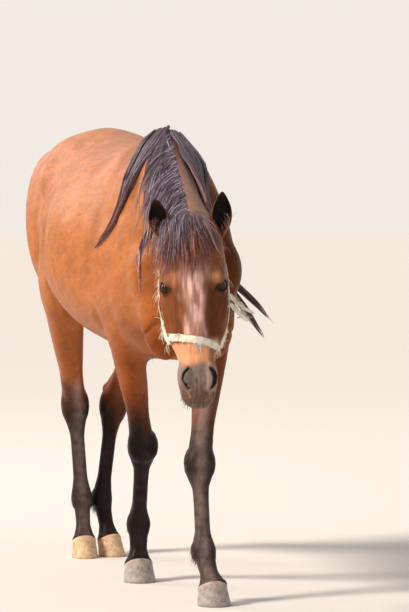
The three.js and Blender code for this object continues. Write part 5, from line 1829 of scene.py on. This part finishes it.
def on_ear(s, along, across):
    """Places inside an ear, at shares of its length and of its half width."""
    hollow = ear_leaf(s)[0].reshape(EAR_RINGS, -1, 3)[:, EAR_ARC:]
    ring = np.clip(along * (EAR_RINGS - 4) + 3, 0, EAR_RINGS - 1).astype(int)
    return hollow[ring, ((0.5 + 0.5 * across) * (EAR_ARC - 1)).astype(int)]


def fine_hair(rng):
    """Lashes, ear hair, whiskers, and the longer hair of jaw, belly and fetlocks.

    Yields roots, the way each hair leaves, its length and its colour."""
    look = bpy.context.scene.horse_coat
    black, deep, tan = np.array(look.points), np.array(look.deep), np.array(look.tan)

    def over(places, spread, count):
        line = curve_through(np.vstack(places), 40) if len(places) > 1 else np.vstack(places)
        picked = line[rng.integers(0, len(line), count)] + rng.normal(0, spread, (count, 3))
        return drawn_onto(skin_field, picked, -0.5, 6)

    for s in (1, -1):
        along, up, out = eye_axes(s)
        u = rng.uniform(-0.85, 0.9, 90)[:, None]
        lid = eye_centre(s) + u * LID_LENGTH * along + (1 - np.abs(u) ** 2.2) * LID_OPEN * up
        roots = drawn_onto(skin_field, lid + 14 * out + 3 * up, -0.5, 5)
        yield roots, unit(out + 0.35 * up + 0.5 * u * along + 0.25 * head_down), 13.0, 0.5 * black
        edge = rng.choice([-1.0, 1.0], 260)
        ear = on_ear(s, rng.uniform(0, 0.45, 260), edge * rng.uniform(0.45, 1.0, 260))
        inward = unit(head_out * 0.5 - head_down + rng.normal(0, 0.25, (260, 3)))
        yield ear, inward, 30.0, np.where(rng.uniform(size=(260, 1)) > 0.5, 0.5 * tan, 2.0 * black)
        jaw = [on_head(120, s * 74, -200), on_head(190, s * 70, -236), on_head(262, s * 58, -224)]
        yield over(jaw, 9, 260), unit(-UP + 0.5 * head_down), 17.0, deep
        chin = [on_head(498, s * 40, -118), on_head(548, s * 26, -112)]
        yield over(chin, 9, 60), unit(head_down - 0.6 * head_out + 0.5 * s * head_left), 24.0, 0.5 * black
        lip = [on_head(540, s * 40, -70), on_head(556, s * 12, -60)]
        yield over(lip, 8, 36), unit(head_down + 0.4 * head_out + 0.4 * s * head_left), 20.0, 0.5 * black
    for leg in LEGS:
        behind = leg.fetlock - 34 * leg.toe - 16 * UP
        feather = over([behind + 24 * UP, behind, behind - 20 * UP], 10, 240)
        yield feather, unit(-UP - 0.5 * leg.toe), 30.0, black
    belly = [at(0, -640, 850), at(0, -420, 790), at(0, -150, 760)]
    yield over(belly, 26, 320), unit(at(0, -0.8, -0.6)), 20.0, deep


class HORSE_OT_fine_hair(Operator):
    """Lashes, whiskers, ear hair, and the longer hair under the jaw and belly and behind the fetlocks"""

    bl_idname = "horse.fine_hair"
    bl_label = "Fine Hair"

    def execute(self, context):
        rng = np.random.default_rng(120)
        paths, shades = [], []
        for roots, way, length, colour in fine_hair(rng):
            reach = length * rng.uniform(0.45, 1.1, (len(roots), 1))
            way = unit(way + rng.normal(0, 0.16, roots.shape))
            rows = [roots]
            for _ in range(3):
                rows.append(rows[-1] + way * reach / 3)
                way = unit(way - 0.16 * UP)
            paths.append(np.stack(rows, axis=1))
            tone = rng.uniform(0.7, 1.4, (len(roots), 1))
            shades.append(np.repeat((tone * colour)[:, None], 4, axis=1))
        strands = np.vstack(paths)
        widths = tapered(len(strands), 4, 0.9, 0.3, 121)
        material = long_hair("Fine horse hair, whiskers and feathers", 0.5)
        piece = strand_mesh("fine_hair", strands, widths, np.vstack(shades), material)
        return {"FINISHED"}


class HORSE_OT_mane(Operator):
    """The mane's drape over the crest, and the locks that hang from it"""

    bl_idname = "horse.mane"
    bl_label = "Mane"

    def execute(self, context):
        hair = context.scene.horse_hair
        material = long_hair("Long coarse horse hair, mane")
        steps = 12
        roots, t = crest_roots(520, 0.0, 1.12, 11)
        rng = np.random.default_rng(12)
        right = unit(at(-1, 0.25, 0.2))
        heading = right + rng.normal(0, 0.07, roots.shape)
        lengths = (205 + 120 * np.sin(math.pi * np.clip(t, 0, 1))) * rng.uniform(0.75, 1.15, len(t))
        pull = unit(at(-0.12, 0.42, -0.9))
        guides = hanging(roots, heading, lengths, pull, head_and_neck, 5.0, 0.55, steps, 13)
        strands = bundle(guides, 5, np.full(len(guides), 9.0), 14)
        # The drape is painted lighter than the locks: a painted sheen on the hair that lies on top
        self.lay("mane_drape", strands, hair, material, 0.12, 1.6, ("mane",))
        sizes = zip(MANE_LOCKS.values(), (1000, 900, 420), (21, 22, 23), (11, 11, 5))
        locks = [lock_paths(rows, count, steps, seed, UP, clumps) for rows, count, seed, clumps in sizes]
        nodes = ("mane_shoulder_lock", "mane_left_lock", "mane_right_lock")
        self.lay("mane_locks", np.vstack(locks), hair, material, 0.3, 1.25, nodes)
        return {"FINISHED"}

    def lay(self, name, strands, hair, material, red, tone, nodes):
        count, steps = strands.shape[:2]
        widths = tapered(count, steps, hair.strand, 0.5)
        colours = tone * hair_shades(count, steps, hair.dark, hair.red, red)
        piece = strand_mesh(name, strands, widths, colours, material)
        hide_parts(*nodes)


class HORSE_OT_forelock(Operator):
    """The forelock, falling over the forehead"""

    bl_idname = "horse.forelock"
    bl_label = "Forelock"

    def execute(self, context):
        hair = context.scene.horse_hair
        rng = np.random.default_rng(31)
        count, steps = 190, 12
        left, down = rng.uniform(-42, 46, count), rng.uniform(-14, 26, count)
        roots = np.array([on_head(d, l, -30) for d, l in zip(down, left)])
        roots = drawn_onto(head_and_neck, roots, 1.0)
        heading = head_out * 0.7 + head_down * 0.5 + left[:, None] / 90 * head_left
        spread = 0.0085 * left + rng.normal(0, 0.09, count)
        pull = head_down + spread[:, None] * head_left + 0.02 * head_out
        lengths = rng.uniform(90, 220, count) + 50 * (rng.uniform(size=count) > 0.8)
        lengths = lengths * (1 - 0.35 * smooth(-5, 30, left))
        guides = hanging(roots, heading, lengths, pull, head_field, 4.5, 0.6, steps, 32)
        strands = bundle(guides, 10, np.full(count, 9.0), 33, 0.6, 0.38)
        total = len(strands)
        colours = hair_shades(total, steps, hair.dark, hair.red, 0.6, 34)
        material = long_hair("Long coarse horse hair, forelock", 0.4)
        widths = tapered(total, steps, 0.65 * hair.strand, 0.35)
        piece = strand_mesh("forelock_hair", strands, widths, colours, material)
        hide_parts("forelock")
        return {"FINISHED"}


class HORSE_OT_tail(Operator):
    """The tail, swung to the horse's left, and the two locks that end it"""

    bl_idname = "horse.tail"
    bl_label = "Tail"

    def execute(self, context):
        hair = context.scene.horse_hair
        steps = 16
        groups = ((TAIL, 1500, 41), (TAIL_LOCKS["upper"], 170, 42), (TAIL_LOCKS["lower"], 170, 43))
        strands = [lock_paths(rows, count, steps, seed, at(0, 1, 0.3)) for rows, count, seed in groups]
        strands = np.vstack(strands)
        count = len(strands)
        colours = hair_shades(count, steps, hair.dark, hair.red, 0.25, 44) * (0.85, 0.6, 0.5)
        material = long_hair("Long coarse horse hair, tail")
        piece = strand_mesh("tail_hair", strands, tapered(count, steps, hair.strand, 0.6), colours, material)
        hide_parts("tail_dock", "tail_middle", "tail_end", "tail_lock_upper", "tail_lock_lower")
        return {"FINISHED"}


class HORSE_OT_eyes(Operator):
    """Both eyes: a dark iris with a level pupil under a glossy cornea"""

    bl_idname = "horse.eyes"
    bl_label = "Eyes"

    def execute(self, context):
        material, tree, shader = new_material("Wet eye, glossy cornea")
        marks = node(tree, "ShaderNodeAttribute", attribute_name="markings").outputs["Color"]
        fill(tree, shader, {"Base Color": marks, "Roughness": 0.06, "IOR": 1.36})
        rings, turns = 40, 56
        angle = np.linspace(0, math.pi, rings)
        turn = np.linspace(0, 2 * math.pi, turns, endpoint=False)
        u = (np.sin(angle)[:, None] * np.cos(turn)).ravel()
        v = (np.sin(angle)[:, None] * np.sin(turn)).ravel()
        w = np.repeat(np.cos(angle), turns)
        faces = ring_faces(rings, turns)[1][:, [0, 3, 2, 1]]
        iris, rim, pupil = (np.array(linear(c)) for c in ("#2A1810", "#120C09", "#050404"))
        off = np.hypot(u, v) + (w < 0)
        colours = mixed(np.where((off < 0.62)[:, None], iris, rim), [(rim, smooth(0.5, 0.64, off))])
        oval = np.hypot(u / 0.34, v / 0.17)
        colours = np.where(((oval < 1) & (w > 0))[:, None], pupil, colours)
        for side, s in (("left", 1), ("right", -1)):
            points = eye_centre(s) + EYE_RADIUS * np.column_stack([u, v, w]) @ np.array(eye_axes(s))
            piece = mesh_object(f"eye_{side}_ball", points, faces, material, colours)
            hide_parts(f"eye_{side}")
        return {"FINISHED"}


class HORSE_OT_hooves(Operator):
    """Four hooves with growth rings, a rolled coronet and a flat sole"""

    bl_idname = "horse.hooves"
    bl_label = "Hooves"

    def execute(self, context):
        look = context.scene.horse_coat
        material, tree, shader = new_material("Dusty hoof horn, grown in rings")
        place = node(tree, "ShaderNodeTexCoord").outputs["Object"]
        squeeze = node(tree, "ShaderNodeMapping", {"Vector": place, "Scale": (1, 1, 0.09)}).outputs["Vector"]
        # Fibres of the horn run down the wall, 3 mm apart so that they show, under patches of dust
        fibres, dust = (
            node(tree, "ShaderNodeTexNoise", {"Vector": way, "Scale": scale, "Detail": detail}).outputs["Fac"]
            for way, scale, detail in ((squeeze, 330.0, 3.0), (place, 60.0, 4.0))
        )
        both = node(tree, "ShaderNodeMath", {0: fibres, 1: dust}, operation="ADD").outputs[0]
        limits = {"Value": both, "From Min": 0.7, "From Max": 1.3, "To Min": 0.62, "To Max": 1.3}
        tone = node(tree, "ShaderNodeMapRange", limits).outputs["Result"]
        bump = node(tree, "ShaderNodeBump", {"Strength": 0.4, "Distance": 0.002, "Height": both})
        surface = {"Base Color": toned_markings(tree, tone), "Normal": bump.outputs["Normal"]}
        fill(tree, shader, {**surface, "Roughness": 0.62})
        fore = ("fore", FORELEGS, FORE_HOOF, look.horn, 0.25)
        hind = ("hind", HINDLEGS, HIND_HOOF, look.sandy, 0.8)
        for pair, legs, size, horn, sanded in (fore, hind):
            for side, leg in legs.items():
                points, faces, share = hoof_wall(leg, size)
                colours = mixed(np.array(horn), [(np.array(look.sandy), sanded * smooth(0.7, 0.95, share))])
                shade = (1 - 0.35 * smooth(0.12, 0.0, share)) * (1 + 0.14 * mottle(points, 14, 8))
                colours = colours * shade[:, None]
                piece = mesh_object(f"hoof_{pair}_{side}_horn", points, faces, material, colours)
                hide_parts(f"hoof_{pair}_{side}")
        return {"FINISHED"}


class HORSE_OT_halter(Operator):
    """The halter of frayed woven tape: noseband, straps, and two loose ends"""

    bl_idname = "horse.halter"
    bl_label = "Halter"

    def execute(self, context):
        look = context.scene.horse_halter
        material, tree, shader = new_material("Cotton tape, woven and frayed")
        place = node(tree, "ShaderNodeTexCoord").outputs["Object"]
        # Threads 2 mm apart, coarser than real ones so that the weave shows
        weave = {"Vector": place, "Scale": 160.0, "Distortion": 3.0, "Detail": 2.0}
        warp = node(tree, "ShaderNodeTexWave", weave)
        dirt = node(tree, "ShaderNodeTexNoise", {"Vector": place, "Scale": 45.0, "Detail": 4.0})
        ramp = node(tree, "ShaderNodeValToRGB", {"Fac": dirt.outputs["Fac"]})
        for stop, colour in zip(ramp.color_ramp.elements, (look.dirty, look.clean)):
            stop.color = (*colour, 1)
        ramp.color_ramp.elements[0].position, ramp.color_ramp.elements[1].position = 0.36, 0.56
        both = node(tree, "ShaderNodeMath", {0: warp.outputs["Fac"], 1: dirt.outputs["Fac"]}, operation="ADD")
        bump = node(tree, "ShaderNodeBump", {"Strength": 0.5, "Distance": 0.0015, "Height": both.outputs[0]})
        surface = {"Base Color": ramp.outputs["Color"], "Normal": bump.outputs["Normal"]}
        fill(tree, shader, {**surface, "Roughness": 0.9, "Sheen Weight": 0.3})
        angle = np.linspace(0, 2 * math.pi, 120, endpoint=False)
        heights = nose_height(angle)
        middle = read_head(heights)[4] - 10
        centre = np.array([on_head(h, 0, m) for h, m in zip(heights, middle)])
        ray = np.cos(angle)[:, None] * head_out + np.sin(angle)[:, None] * head_left
        path = drawn_onto(head_field, centre + 70 * ray, COAT + 1.5, 8)
        path = centre + ray * ((path - centre) * ray).sum(1)[:, None]
        self.lay("halter_noseband", path, ray, TAPE_HALF, material, True)
        threads = self.threads(path, ray, TAPE_HALF, 220, 16, 51, 80)
        front = np.r_[-26:26]
        drops = self.threads(path[front], ray[front], TAPE_HALF, 110, 44, 52, 9)
        loose = [threads, drops]
        for i, (name, rows) in enumerate(STRAPS.items()):
            steps = 16 * (len(rows) - 1)
            line, normal, half = route(rows, on_head, head_field, head_out, steps)
            if rows[0][-1] is not None:
                turn = 0.7 * np.sin(np.linspace(0, 9, steps) + i)[:, None] + 0.5
                turn = turn * smooth(190, 260, head_place(line)[0])[:, None]
                line = drawn_onto(head_field, line, COAT + 3.0, 4)
                normal = unit(normal + turn * head_out)
            self.lay(name, line, normal, half, material, False)
            amount, length = FRAYS[i]
            loose.append(self.threads(line, normal, 6, amount, length, 60 + i, amount // 6))
        strands = np.vstack(loose)
        count, steps = strands.shape[:2]
        shades = np.tile(np.array(look.clean), (count, steps, 1))
        fray = strand_mesh("halter_frays", strands, tapered(count, steps, 1.5, 0.7, 71), shades, material)
        return {"FINISHED"}

    def lay(self, name, path, normal, half, material, closed):
        points, faces = tape(path, normal, half, TAPE_THICK, closed)
        piece = mesh_object(name + "_tape", points, faces, material)
        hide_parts(name)

    def threads(self, path, normal, half, count, length, seed, bunches):
        along = unit(np.gradient(path, axis=0))
        return frays(path, np.cross(along, unit(normal)), unit(normal), half, count, length, seed, bunches)


class HORSE_OT_stage(Operator):
    """Camera, soft lamps and a plain pale floor"""

    bl_idname = "horse.stage"
    bl_label = "Stage"

    def execute(self, context):
        scene, stage = context.scene, context.scene.horse_stage
        turn, pitch = math.radians(14), math.radians(2.71)
        across = 0.010395 * stage.distance  # the horse stands a little to one side of the camera's aim
        side = across * math.cos(turn) - stage.distance * math.sin(turn)
        back = across * math.sin(turn) + stage.distance * math.cos(turn)
        eye = in_scene(at(side * 1000, back * 1000, stage.height * 1000))
        camera = bpy.data.cameras.new("camera")
        camera.lens = stage.lens
        scene.camera = placed("camera", camera, eye, (math.sin(turn), math.cos(turn), -math.tan(pitch)))
        sun = bpy.data.lights.new("key", "SUN")
        sun.energy, sun.angle, sun.color = stage.key, math.radians(14), linear("#FFEFDC")
        placed("key", sun, heading=(0.93, 0.13, -0.78))
        aim = in_scene(at(0, -300, 900))
        fill_lamp = ("fill", (3.0, -8.0, 3.0), 4.0, 45, "#EAF1FF")
        rim_lamp = ("rim", (-4.0, 5.0, 4.0), 3.0, 120, "#FFF0DC")
        for name, place, size, power, colour in (fill_lamp, rim_lamp):
            light = bpy.data.lights.new(name, "AREA")
            light.size, light.energy, light.color = size, power, linear(colour)
            placed(name, light, place, aim - place)
        world = bpy.data.worlds.new("pale room")
        world.use_nodes = True
        tree = world.node_tree
        # The room lights the horse at a plain level, and is white where it is seen or mirrored
        rays = node(tree, "ShaderNodeLightPath").outputs
        seen = rays["Is Camera Ray"]
        for kind in ("Is Glossy Ray", "Is Transmission Ray"):
            seen = node(tree, "ShaderNodeMath", {0: seen, 1: rays[kind]}, operation="ADD").outputs[0]
        strength = node(tree, "ShaderNodeMapRange", {"Value": seen, "To Min": 0.36, "To Max": 1.0})
        room = {"Color": (*linear("#F2EBE3"), 1), "Strength": strength.outputs["Result"]}
        fill(tree, tree.nodes["Background"], room)
        scene.world = world
        floor_mesh = bpy.data.meshes.new("floor")
        r = 40
        floor_mesh.from_pydata([(-r, -r, 0), (r, -r, 0), (r, r, 0), (-r, r, 0)], [], [(0, 1, 2, 3)])
        floor = placed("floor", floor_mesh)
        floor_material, tree, shader = new_material("Smooth pale plaster floor")
        fill(tree, shader, {"Base Color": (*linear("#F4F4F6"), 1), "Roughness": 0.8})
        floor_mesh.materials.append(floor_material)
        scene.view_settings.view_transform = "Standard"
        return {"FINISHED"}


class HORSE_PT_panel(Panel):
    """Lists the settings and the pieces"""

    bl_label = "Bay Horse"
    bl_space_type = "VIEW_3D"
    bl_region_type = "UI"
    bl_category = "Horse"

    def draw(self, context):
        scene = context.scene
        for group in (getattr(scene, name) for name in SETTINGS):
            box = self.layout.box()
            box.label(text=group.bl_rna.description)
            for setting in group.bl_rna.properties:
                if setting.identifier not in ("rna_type", "name"):
                    box.prop(group, setting.identifier)
        for operator in PIECES:
            self.layout.operator(operator.bl_idname)


PIECES = (
    HORSE_OT_stage,
    HORSE_OT_skin,
    HORSE_OT_coat,
    HORSE_OT_fine_hair,
    HORSE_OT_eyes,
    HORSE_OT_hooves,
    HORSE_OT_mane,
    HORSE_OT_forelock,
    HORSE_OT_tail,
    HORSE_OT_halter,
)
SETTINGS = {
    "horse_coat": HorseCoat,
    "horse_hair": HorseHair,
    "horse_halter": HorseHalter,
    "horse_stage": HorseStage,
}
CLASSES = (*SETTINGS.values(), *PIECES, HORSE_PT_panel)


def register():
    for cls in CLASSES:
        bpy.utils.register_class(cls)
    for name, group in SETTINGS.items():
        setattr(bpy.types.Scene, name, PointerProperty(type=group))


def unregister():
    for name in SETTINGS:
        delattr(bpy.types.Scene, name)
    for cls in reversed(CLASSES):
        bpy.utils.unregister_class(cls)


def main():
    register()
    for piece in PIECES:
        getattr(bpy.ops.horse, piece.bl_idname.split(".")[1])()


if __name__ == "__main__":
    main()
